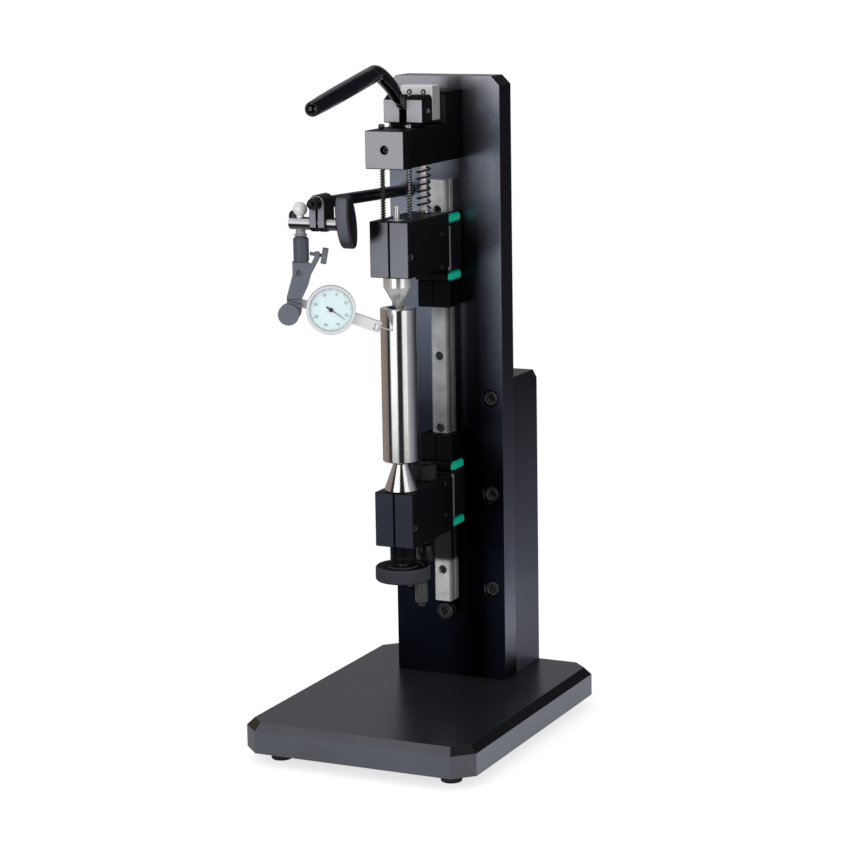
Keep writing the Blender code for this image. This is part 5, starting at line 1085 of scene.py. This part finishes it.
low, high = heights("crank_grip")
crank_grip = turn_piece("crank_grip_moulded", [
    (0.0070, low), (0.0090, low + 0.0005), (0.0102, low + 0.0022), (0.0103, low + 0.0090),
    (0.0099, high - 0.0030), (0.0092, high - 0.0008), (0.0080, high),
], 56)
round_edges(carve(crank_grip, plug(40, 0.00225, 0.06, low)), smooth_deg=40)
set_at(crank_grip, under("crank_grip"))
finish_with(black_skin("crank_grip_black", (0.050, 0.051, 0.055), 0.32, 0.3, wear_and_highlight=0.2), crank_grip)
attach(crank_grip, "crank")
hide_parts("crank_grip")

# Arm: a ball stud screwed into the column, a smooth anodised rod with a turned nose, a split
# clamp block, the cross shaft through it and a cast lock paddle on the shaft's end.
arm_front = Vector((-0.0335, -0.0842, 0.4477))
root_ball = Vector((-0.0335, 0.0683, 0.4425))
shaft_at = Vector((0, -0.0767, 0.4311))
swivel_at = Vector((-0.0517, -0.0767, 0))
stud = turn_piece("root_stud", [
    (0.0036, -0.008), (0.0036, 0.0003), (0.0124, 0.0003), (0.0130, 0.0006), (0.0130, 0.0030),
    (0.0124, 0.0033), (0.0036, 0.0033),
] + ball_rings(0.0035, 0.0085, -58, 86, 12), 48)
round_edges(stud, smooth_deg=40)
set_at(stud, moved((root_ball.x, column_front, root_ball.z)) @ to_front)
finish_with(dark_steel, stud)
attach(stud, "frame")
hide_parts("arm_root_stud")

arm_way = arm_front - Vector((0, 0.0075, 0)) - root_ball
far = arm_way.length
arm = turn_piece("arm_rod_turned", [
    (0.0084, -0.0020), (0.0094, -0.0014), (0.0094, far - 0.0012), (0.0086, far), (0.0052, far + 0.0001),
    (0.0048, far + 0.0005), (0.0048, far + 0.0040), (0.0042, far + 0.0047), (0.0026, far + 0.0050),
], 56)
socket = turn_piece("root_socket", [
    (0.0060, -0.004), (0.0074, -0.0010), (0.0076, 0.0), (0.0060, 0.0026), (0.002, 0.0036),
], 40)
round_edges(carve(arm, socket))
set_at(arm, moved(root_ball) @ along(arm_way.normalized()))
finish_with(black_skin("arm_black", (0.010, 0.010, 0.013), 0.26, 0.2, metallic=0.55, wear_and_highlight=0.2), arm)
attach(arm, "swing_rod")
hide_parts("arm_rod")
# The clamp block's front gets a painted light tone.
finish_with(
    black_skin("arm_clamp_black", (0.006, 0.006, 0.008), 0.40, 0.15, front=(0.260, 0.268, 0.300),
               specular=0.2, wear_and_highlight=0.6, wear_and_highlight_colour=(0.16, 0.16, 0.18)),
    "arm_clamp_block",
)


def round_corner(piece, width, segments, chosen):
    """Round those edges of a block that have both ends chosen."""
    points = piece.data.vertices
    pick(piece, "edges", lambda edge: all(chosen(points[index].co) for index in edge.vertices))
    bpy.ops.mesh.bevel(offset=width, segments=segments, affect="EDGES")
    let_go()


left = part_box("cross_shaft")[0][0]
shaft = turn_piece("cross_bar", [
    (0.0090, left), (0.0100, left + 0.0005), (0.0100, -0.0188), (0.0092, -0.0183), (0.0050, -0.0183),
    (0.0050, -0.0115), (0.0042, -0.0113),
], 56)
round_edges(shaft)
set_at(shaft, moved(shaft_at) @ to_right)
lug = block("shaft_lug", (0.0052, 0.0060, 0.0104), (left + 0.0026, shaft_at.y, shaft_at.z + 0.0052))
round_corner(lug, 0.0046, 8, lambda point: point.x < left + 0.001 and point.z > shaft_at.z + 0.009)
ball_up = 0.0108
seat = turn_piece("ball_seat", ball_rings(0.0059, 0, -84, 90, 14), 40)
carve(lug, set_at(seat, swivel_at + Vector((0, 0, shaft_at.z + ball_up))))
round_edges(lug, 0.0002, 2)
shaft = one_piece("cross_shaft_turned", shaft, lug)
# The shaft is a light colour painted dark except near its axis: a painted highlight along its upper half and
# a weaker one along its underside.
shaft_black = black_skin("cross_shaft_black", (0.80, 0.81, 0.85), 0.16, 0.1, metallic=0.2, wear_and_highlight=0.0,
                         specular=0.3)
fade(shaft_black, "Z", [
    (-0.0052, 0.22), (-0.0030, 0.16), (-0.0022, 0.03), (-0.0004, 0.03), (0.0004, 1.0), (0.0034, 0.9),
    (0.0042, 0.05), (0.0110, 0.03),
], shaft_at.z)
finish_with(shaft_black, shaft)
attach(shaft, "cross_shaft")
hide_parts("cross_shaft")

paddle = plug(72, 1, 1)
paddle.name = "lock_paddle_cast"
paddle.scale = (0.0078, 0.02175, 0.0121)
bpy.ops.object.transform_apply(location=True, rotation=True, scale=True)
round_edges(paddle, 0.0028, 6, smooth_deg=40)
on_edge = Matrix(((0, 0, 1, 0), (1, 0, 0, 0), (0, 1, 0, 0), (0, 0, 0, 1)))
paddle_middle = Vector((middle_of("arm_lock_paddle").x, shaft_at.y, shaft_at.z + 0.0024))
set_at(paddle, moved(paddle_middle) @ turned(12, "X") @ on_edge)
# The paddle's front gets a painted light tone and its right-hand face a painted shade.
finish_with(
    black_skin("paddle_black", (0.030, 0.031, 0.037), 0.34, 0.2, front=(0.130, 0.136, 0.158),
               right=(0.005, 0.0055, 0.008), specular=0.15, wear_and_highlight=0.3, wear_and_highlight_colour=(0.05, 0.05, 0.06)),
    paddle,
)
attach(paddle, "lock_paddle")
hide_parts("arm_lock_paddle")

# Swivel: a chromed ball stud that stands in the cross shaft, and below it a tapered barrel that
# is screwed on the stud and holds the fine adjustment on its flat tongue.
swivel_frame = moved(swivel_at) @ turned(27, "Z")
ball = shaft_at.z + ball_up
top = shaft_at.z - 0.0053
stud = turn_piece("swivel_ball_stud", [
    (0.0050, top - 0.0145), (0.0050, top - 0.0045), (0.0098, top - 0.0044), (0.0102, top - 0.0041),
    (0.0102, top - 0.0034), (0.0098, top - 0.0032), (0.0077, top - 0.0032), (0.0077, top - 0.0004),
    (0.0073, top), (0.0060, top), (0.0060, ball - 0.0047),
] + ball_rings(0.0056, ball, -52, 84, 8) + [(0.0008, ball + 0.0056)])
round_edges(stud, smooth_deg=30)
set_at(stud, swivel_at)
# The stud is painted darker below the ball, as painted shade on its neck.
chrome = ground_steel("chrome", (0.97, 0.97, 0.98), 0.15, (300, 300, 300), 0.0, 0.02, 0.12)
fade(chrome, "Z", [(-0.0310, 0.30), (-0.0130, 0.35), (-0.0070, 1.0), (0.0060, 1.0)], ball)
finish_with(chrome, stud)
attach(stud, "swivel")
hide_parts("swivel_ball_stud")

high = top - 0.0047
low = high - 0.0198
fine_top = low - 0.0003
barrel = turn_piece("swivel_barrel_turned", [
    (0.0110, low), (0.0122, low + 0.0006), (0.0122, high - 0.0022), (0.0118, high - 0.0018), (0.0080, high),
])
round_edges(carve(barrel, turn_piece("barrel_bore", [(0.0053, high - 0.0110), (0.0053, high + 0.002)], 40)),
            smooth_deg=30)
set_at(barrel, swivel_at)
tongue = block("barrel_tongue", (0.0090, 0.0040, 0.0126), (-0.0026, 0, low - 0.0062))
round_edges(tongue, 0.0003, 2)
set_at(tongue, swivel_frame)
barrel = one_piece("swivel_barrel_turned", barrel, tongue)
finish_with(
    black_skin("swivel_black", (0.084, 0.091, 0.112), 0.34, 0.2, specular=0.3, wear_and_highlight=0.4,
               wear_and_highlight_colour=(0.20, 0.20, 0.21)),
    barrel,
)
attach(barrel, "swivel")
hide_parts("swivel_barrel")

# Fine adjustment: a forked body milled from flat bar, tilted by a knurled thumb screw that runs
# through its raised branch, and turning on a shouldered pivot screw.
fine_grey = black_skin("fine_grey", (0.160, 0.174, 0.212), 0.36, 0.2, specular=0.3, wear_and_highlight=0.6,
                       wear_and_highlight_colour=(0.42, 0.43, 0.45))
knob_grey = black_skin("knob_grey", (0.170, 0.183, 0.222), 0.34, 0.2, specular=0.3, wear_and_highlight=0.7,
                       wear_and_highlight_colour=(0.34, 0.35, 0.37))
finish_with(fine_grey, "fine_adjust_body")
pin = turn_piece("fine_pivot_screw", [
    (0.0035, -0.0050), (0.0035, 0.0053), (0.0042, 0.0053), (0.0046, 0.0055), (0.0046, 0.0060),
    (0.0042, 0.0063),
], 40)
round_edges(carve(pin, plug(6, 0.0012, 0.0016, 0.0063)))
set_at(pin, swivel_frame @ moved((-0.0026, 0, fine_top - 0.0079)) @ to_front)
finish_with(rod_steel, pin)
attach(pin, "fine_adjustment")
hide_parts("fine_pivot_screw")

thumb = turn_piece("thumb_screw_knurled", [
    (0.0116, -0.0023), (0.0128, -0.0019), (0.0128, 0.0019), (0.0122, 0.0023), (0.0080, 0.0023),
    (0.0070, 0.0021), (0.0036, 0.0021),
], 72)
knurl(thumb, 0.95, -0.0020, 0.0020, 0.0056)
round_edges(thumb, smooth_deg=18)
thread_low, half_pitch = -0.0112, 0.00022
thread = turn_piece("thumb_thread", [(0.0024, -0.0116), (0.0030, thread_low)] + [
    (wide, thread_low + half_pitch * turn) for turn, wide in enumerate([0.0030, 0.0026] * 19, 1)
] + [(0.0030, -0.0020)], 28)
round_edges(thread, smooth_deg=10)
thumb = one_piece("thumb_screw_knurled", thumb, thread)
set_at(thumb, swivel_frame @ moved((0.0180, 0, fine_top + 0.0042)) @ turned(100.7, "Y"))
finish_with(knob_grey, thumb)
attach(thumb, "thumb_screw")
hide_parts("fine_adjust_screw")

# Dovetail clamp: a milled jaw below the fine adjustment grips the indicator's dovetail, and a
# knurled knob on its stud tightens it.
clamp_x, clamp_z = -0.0109, fine_top - 0.0405
jaw_top, jaw_low = fine_top - 0.0288, clamp_z - 0.0052
jaw = block(
    "dovetail_clamp_jaw", (0.01159, 0.0090, jaw_top - jaw_low), (-0.00633, 0.0015, (jaw_top + jaw_low) / 2)
)
round_corner(jaw, 0.0085, 12, lambda point: point.x > -0.001 and point.z < clamp_z)
round_edges(jaw, 0.0004, 2, smooth_deg=30)
for drop in (0.0023, 0.0062):
    groove = block("jaw_groove", (0.030, 0.0050, 0.0007))
    carve(jaw, set_at(groove, moved((-0.0063, -0.0030, jaw_top - drop)) @ turned(17, "Y")))
boss = []
for part in (
    turn_piece("jaw_round", [(0.0148, -0.0060), (0.0152, -0.0057), (0.0152, 0.0024), (0.0146, 0.0028)], 72),
    turn_piece("jaw_stud", [(0.0040, 0.0020), (0.0040, 0.0058)], 32),
):
    round_edges(part, smooth_deg=30)
    boss.append(set_at(part, moved((clamp_x, 0, clamp_z)) @ to_front))
jaw = one_piece("dovetail_clamp_jaw", jaw, *boss)
set_at(jaw, swivel_frame)
finish_with(fine_grey, jaw)
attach(jaw, "fine_adjustment")
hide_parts("dovetail_clamp")
knob = turn_piece("clamp_knob_knurled", [
    (0.0150, 0.0), (0.0168, 0.0006), (0.0168, 0.0042), (0.0160, 0.0048), (0.0120, 0.0048), (0.0108, 0.0045),
    (0.0052, 0.0045),
], 96)
knurl(knob, 0.965, 0.0004, 0.0044, 0.0076)
round_edges(carve(knob, turn_piece("knob_bore", [(0.0043, -0.001), (0.0043, 0.0032)], 32)), smooth_deg=18)
set_at(knob, swivel_frame @ moved((clamp_x, -0.0033, clamp_z)) @ to_front)
finish_with(knob_grey, knob)
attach(knob, "clamp_knob")
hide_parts("dovetail_clamp_knob")

# Indicator: a chromed body with a narrow nose and a dovetail on its back, a satin bezel that
# turns with its printed dial and mineral glass, a blued pointer and a ball-ended stylus.
face_out = swivel_frame @ moved((0.0221, 0, fine_top - 0.0378)) @ turned(20.8, "Y") @ to_front
satin = ground_steel("satin_chrome", (0.96, 0.965, 0.97), 0.30, (700, 700, 700), 0.0, 0.05, 0.10)
finish_with(satin, "indicator_body")
bezel = turn_piece("bezel_turned", [
    (0.0374, -0.0010), (0.0386, -0.0004), (0.0386, 0.0050), (0.0382, 0.0057), (0.0372, 0.0062),
    (0.0352, 0.0062), (0.0340, 0.0056),
], 144)
carve(bezel, turn_piece("bezel_opening", [
    (0.0350, -0.003), (0.0350, 0.0050), (0.0340, 0.0055), (0.0348, 0.0064),
], 96))
knurl(bezel, 0.992, 0.0004, 0.0036, 0.0185)
round_edges(bezel, smooth_deg=14)
set_at(bezel, face_out)
finish_with(satin, bezel)
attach(bezel, "bezel")
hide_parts("indicator_bezel")

dial_white, tree, place = new_finish("dial_white")
print_grain = noise(tree, place, 900)
complete(dial_white, {
    "Base Color": blend(tree, print_grain, (0.84, 0.96, 0.98), (0.90, 0.99, 1.0)), "Roughness": 0.45,
    "Normal": raised(tree, print_grain, 0.05, 0.00005),
})
plate = turn_piece("dial_plate", [(0.0347, 0.0012), (0.0347, 0.0019), (0.0345, 0.0020)], 96)
round_edges(carve(plate, turn_piece("dial_pin_hole", [(0.0018, 0.0), (0.0018, 0.004)], 24)))
set_at(plate, face_out)
finish_with(dial_white, plate)
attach(plate, "bezel")
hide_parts("indicator_dial")


def marks_round(name, every_deg, from_out, to_out, wide):
    """Printed marks round the dial: one thin bar, set again and again round the middle."""
    mark = block(name, (wide, to_out - from_out, 0.00006), (0, (from_out + to_out) / 2, 0.00203))
    bpy.ops.object.mode_set(mode="EDIT")
    bpy.ops.mesh.select_all(action="SELECT")
    bpy.ops.mesh.spin(
        steps=round(360 / every_deg), angle=2 * math.pi, dupli=True, center=(0, 0, 0), axis=(0, 0, 1)
    )
    bpy.ops.object.mode_set(mode="OBJECT")
    return weld(mark, 0.000005)


printed = [
    marks_round("dial_marks_fine", 4.5, 0.0155, 0.0166, 0.00012),
    marks_round("dial_marks_long", 22.5, 0.0148, 0.0166, 0.00022),
    carve(turn_piece("dial_ring", [(0.0334, 0.00200), (0.0334, 0.00206)], 96),
          turn_piece("dial_ring_hole", [(0.0330, 0.0), (0.0330, 0.003)], 96)),
]
figures_out = 0.0126
for count, number in enumerate((0, 10, 20, 30, 40, 30, 20, 10)):
    bpy.ops.object.select_all(action="DESELECT")
    bpy.ops.object.text_add()
    figure = bpy.context.object.data
    figure.body = str(number)
    figure.size = 0.0031
    figure.align_x = figure.align_y = "CENTER"
    figure.extrude = 0.00003
    figure.resolution_u = 3
    bpy.ops.object.convert(target="MESH")
    angle = math.radians(90 - 45 * count)
    printed.append(set_at(
        weld(bpy.context.object, 0.000002),
        (figures_out * math.cos(angle), figures_out * math.sin(angle), 0.00204),
    ))
printed = one_piece("dial_print", *printed)
set_at(printed, face_out)
finish_with(black_skin("dial_ink", (0.060, 0.070, 0.080), 0.55, 0.3, wear_and_highlight=0.0), printed)
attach(printed, "bezel")

glass_clear, tree, place = new_finish("dial_glass")
complete(glass_clear, {
    "Base Color": (0.97, 1.0, 1.0), "Transmission Weight": 1.0, "IOR": 1.25,
    "Roughness": spread(tree, noise(tree, place, 160), 0, 1, 0.0, 0.03),
})
glass = turn_piece("dial_glass_disc", [
    (0.0342, 0.0040), (0.0348, 0.0043), (0.0348, 0.0047), (0.0342, 0.0050),
], 96)
round_edges(glass)
set_at(glass, face_out)
finish_with(glass_clear, glass)
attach(glass, "bezel")
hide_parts("indicator_glass")


def tapered_bar(name, size, middle, share):
    """A thin bar whose end towards +X is narrower by a share."""
    bar = block(name, size, middle)
    pick(bar, "polygons", lambda face: face.normal.x > 0.9)
    bpy.ops.transform.resize(value=(1, share, 1))
    let_go()
    return bar


needle = one_piece(
    "pointer_blued",
    tapered_bar("needle", (0.0137, 0.0006, 0.00035), (0.00685, 0, 0.00305), 0.4),
    tapered_bar("needle_tail", (0.0040, 0.0015, 0.00035), (-0.0020, 0, 0.00305), 0.5),
    turn_piece("pointer_hub", [
        (0.0012, -0.0040), (0.0012, 0.0028), (0.0034, 0.0028), (0.0034, 0.0033), (0.0022, 0.0037),
    ], 32),
)
round_edges(needle)
set_at(needle, face_out @ turned(-14.2, "Z"))
finish_with(black_skin("pointer_blue", (0.010, 0.011, 0.018), 0.3, 0.2, wear_and_highlight=0.2), needle)
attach(needle, "pointer")
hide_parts("indicator_pointer")
finish_with(
    ground_steel("stylus_steel", (0.92, 0.92, 0.93), 0.18, (900, 900, 900), 0.05, 0.05, 0.3), "stylus"
)

# Studio: a white table and backdrop, a tall soft box on each side of the camera, and the camera
# itself at the photograph's place.
camera_place = Vector((0.93041, -1.91490, 0.66978))
bearing, rise, roll = (math.radians(angle) for angle in (25.615, 10.820, -0.977))
away = Vector((math.sin(bearing) * math.cos(rise), -math.cos(bearing) * math.cos(rise), math.sin(rise)))
level = (-away).cross(Vector((0, 0, 1))).normalized()
upright = level.cross(-away)
right = level * math.cos(roll) + upright * math.sin(roll)
top = upright * math.cos(roll) - level * math.sin(roll)
lens = bpy.data.cameras.new("camera")
lens.lens = 113.80
lens.sensor_width = 36
lens.shift_x = 0.0071146
lens.shift_y = -0.0048959
camera = bpy.data.objects.new("camera", lens)
bpy.context.scene.collection.objects.link(camera)
camera.matrix_world = moved(camera_place) @ Matrix((right, top, away)).transposed().to_4x4()
bpy.context.scene.camera = camera


def soft_box(name, width, height, white, place, turn):
    """A rectangular soft box that lights by its share of white and hides from the camera."""
    light = bpy.data.lights.new(name, "AREA")
    light.shape = "RECTANGLE"
    light.size = width
    light.size_y = height
    light.energy = white * math.pi * width * height
    lamp = bpy.data.objects.new(name, light)
    bpy.context.scene.collection.objects.link(lamp)
    lamp.location = place
    lamp.rotation_euler = turn
    lamp.visible_camera = False


low, distance = -0.07, 1.5
for name, beside_deg, width, high, white in (
    ("soft_box_left", -34, 1.2, 1.5, 1.4), ("soft_box_right", 37, 0.80, 1.3, 1.1),
):
    side = bearing + math.radians(beside_deg)
    out = Vector((math.sin(side), -math.cos(side), 0))
    place = axis + out * distance + Vector((0, 0, (low + high) / 2))
    soft_box(name, width, high - low, white, place, out.to_track_quat("Z", "Y").to_euler())
soft_box("soft_box_overhead", 0.6, 0.4, 1.2, (-0.15, -0.25, 1.5), (math.radians(-12), math.radians(-8), 0))

world = bpy.data.worlds.new("studio")
bpy.context.scene.world = world
world.use_nodes = True
tree = world.node_tree
around = add(tree, "Mapping", {
    "Vector": add(tree, "TexCoord").outputs["Generated"], "Rotation": (0, 0, math.pi / 2 - bearing),
}).outputs["Vector"]
round_view = add(tree, "TexGradient", {"Vector": around}, gradient_type="RADIAL").outputs["Color"]
bands = ramp(tree, round_view, [(angle / 360 + 0.5, tone) for angle, tone in (
    (-180, (0.36, 0.37, 0.40)), (-166, (0.33, 0.34, 0.37)), (-154, (0.12, 0.12, 0.13)),
    (-138, (0.34, 0.27, 0.23)), (-84, (0.26, 0.22, 0.20)), (-74, (0.01, 0.01, 0.012)),
    (44, (0.01, 0.01, 0.012)), (56, (0.50, 0.51, 0.53)), (70, (0.34, 0.35, 0.37)),
    (100, (0.16, 0.17, 0.19)), (112, (0.06, 0.06, 0.075)), (152, (0.05, 0.05, 0.065)),
    (166, (0.33, 0.34, 0.37)), (180, (0.36, 0.37, 0.40)),
)])
path = add(tree, "LightPath").outputs
plain = blend(tree, path["Is Glossy Ray"], (0.55, 0.55, 0.56), bands)
seen = calc(tree, "MAXIMUM", path["Is Camera Ray"], path["Is Transmission Ray"])
feed(tree, tree.nodes["Background"].inputs["Color"], blend(tree, seen, plain, (1, 1, 1)))
lay_out(tree)

bpy.ops.object.select_all(action="DESELECT")
bpy.ops.mesh.primitive_circle_add(vertices=96, radius=0.5, fill_type="NGON", location=(0, 0, 0))
table = bpy.context.object
table.name = "table"
table_white = bpy.data.materials.new("table_white")
table_white.use_nodes = True
tree = table_white.node_tree
glow_white = calc(tree, "MULTIPLY", add(tree, "LightPath").outputs["Is Camera Ray"], 0.72)
glow = add(tree, "Emission", {"Color": (1, 1, 1), "Strength": glow_white}).outputs["Emission"]
both = add(tree, "AddShader", {0: tree.nodes["Principled BSDF"].outputs["BSDF"], 1: glow}).outputs["Shader"]
tree.links.new(both, tree.nodes["Material Output"].inputs["Surface"])
table.data.materials.append(complete(table_white, {"Base Color": (0.55, 0.55, 0.55), "Roughness": 0.9}))

bpy.context.scene.view_settings.view_transform = "Standard"

low, high = cad_box
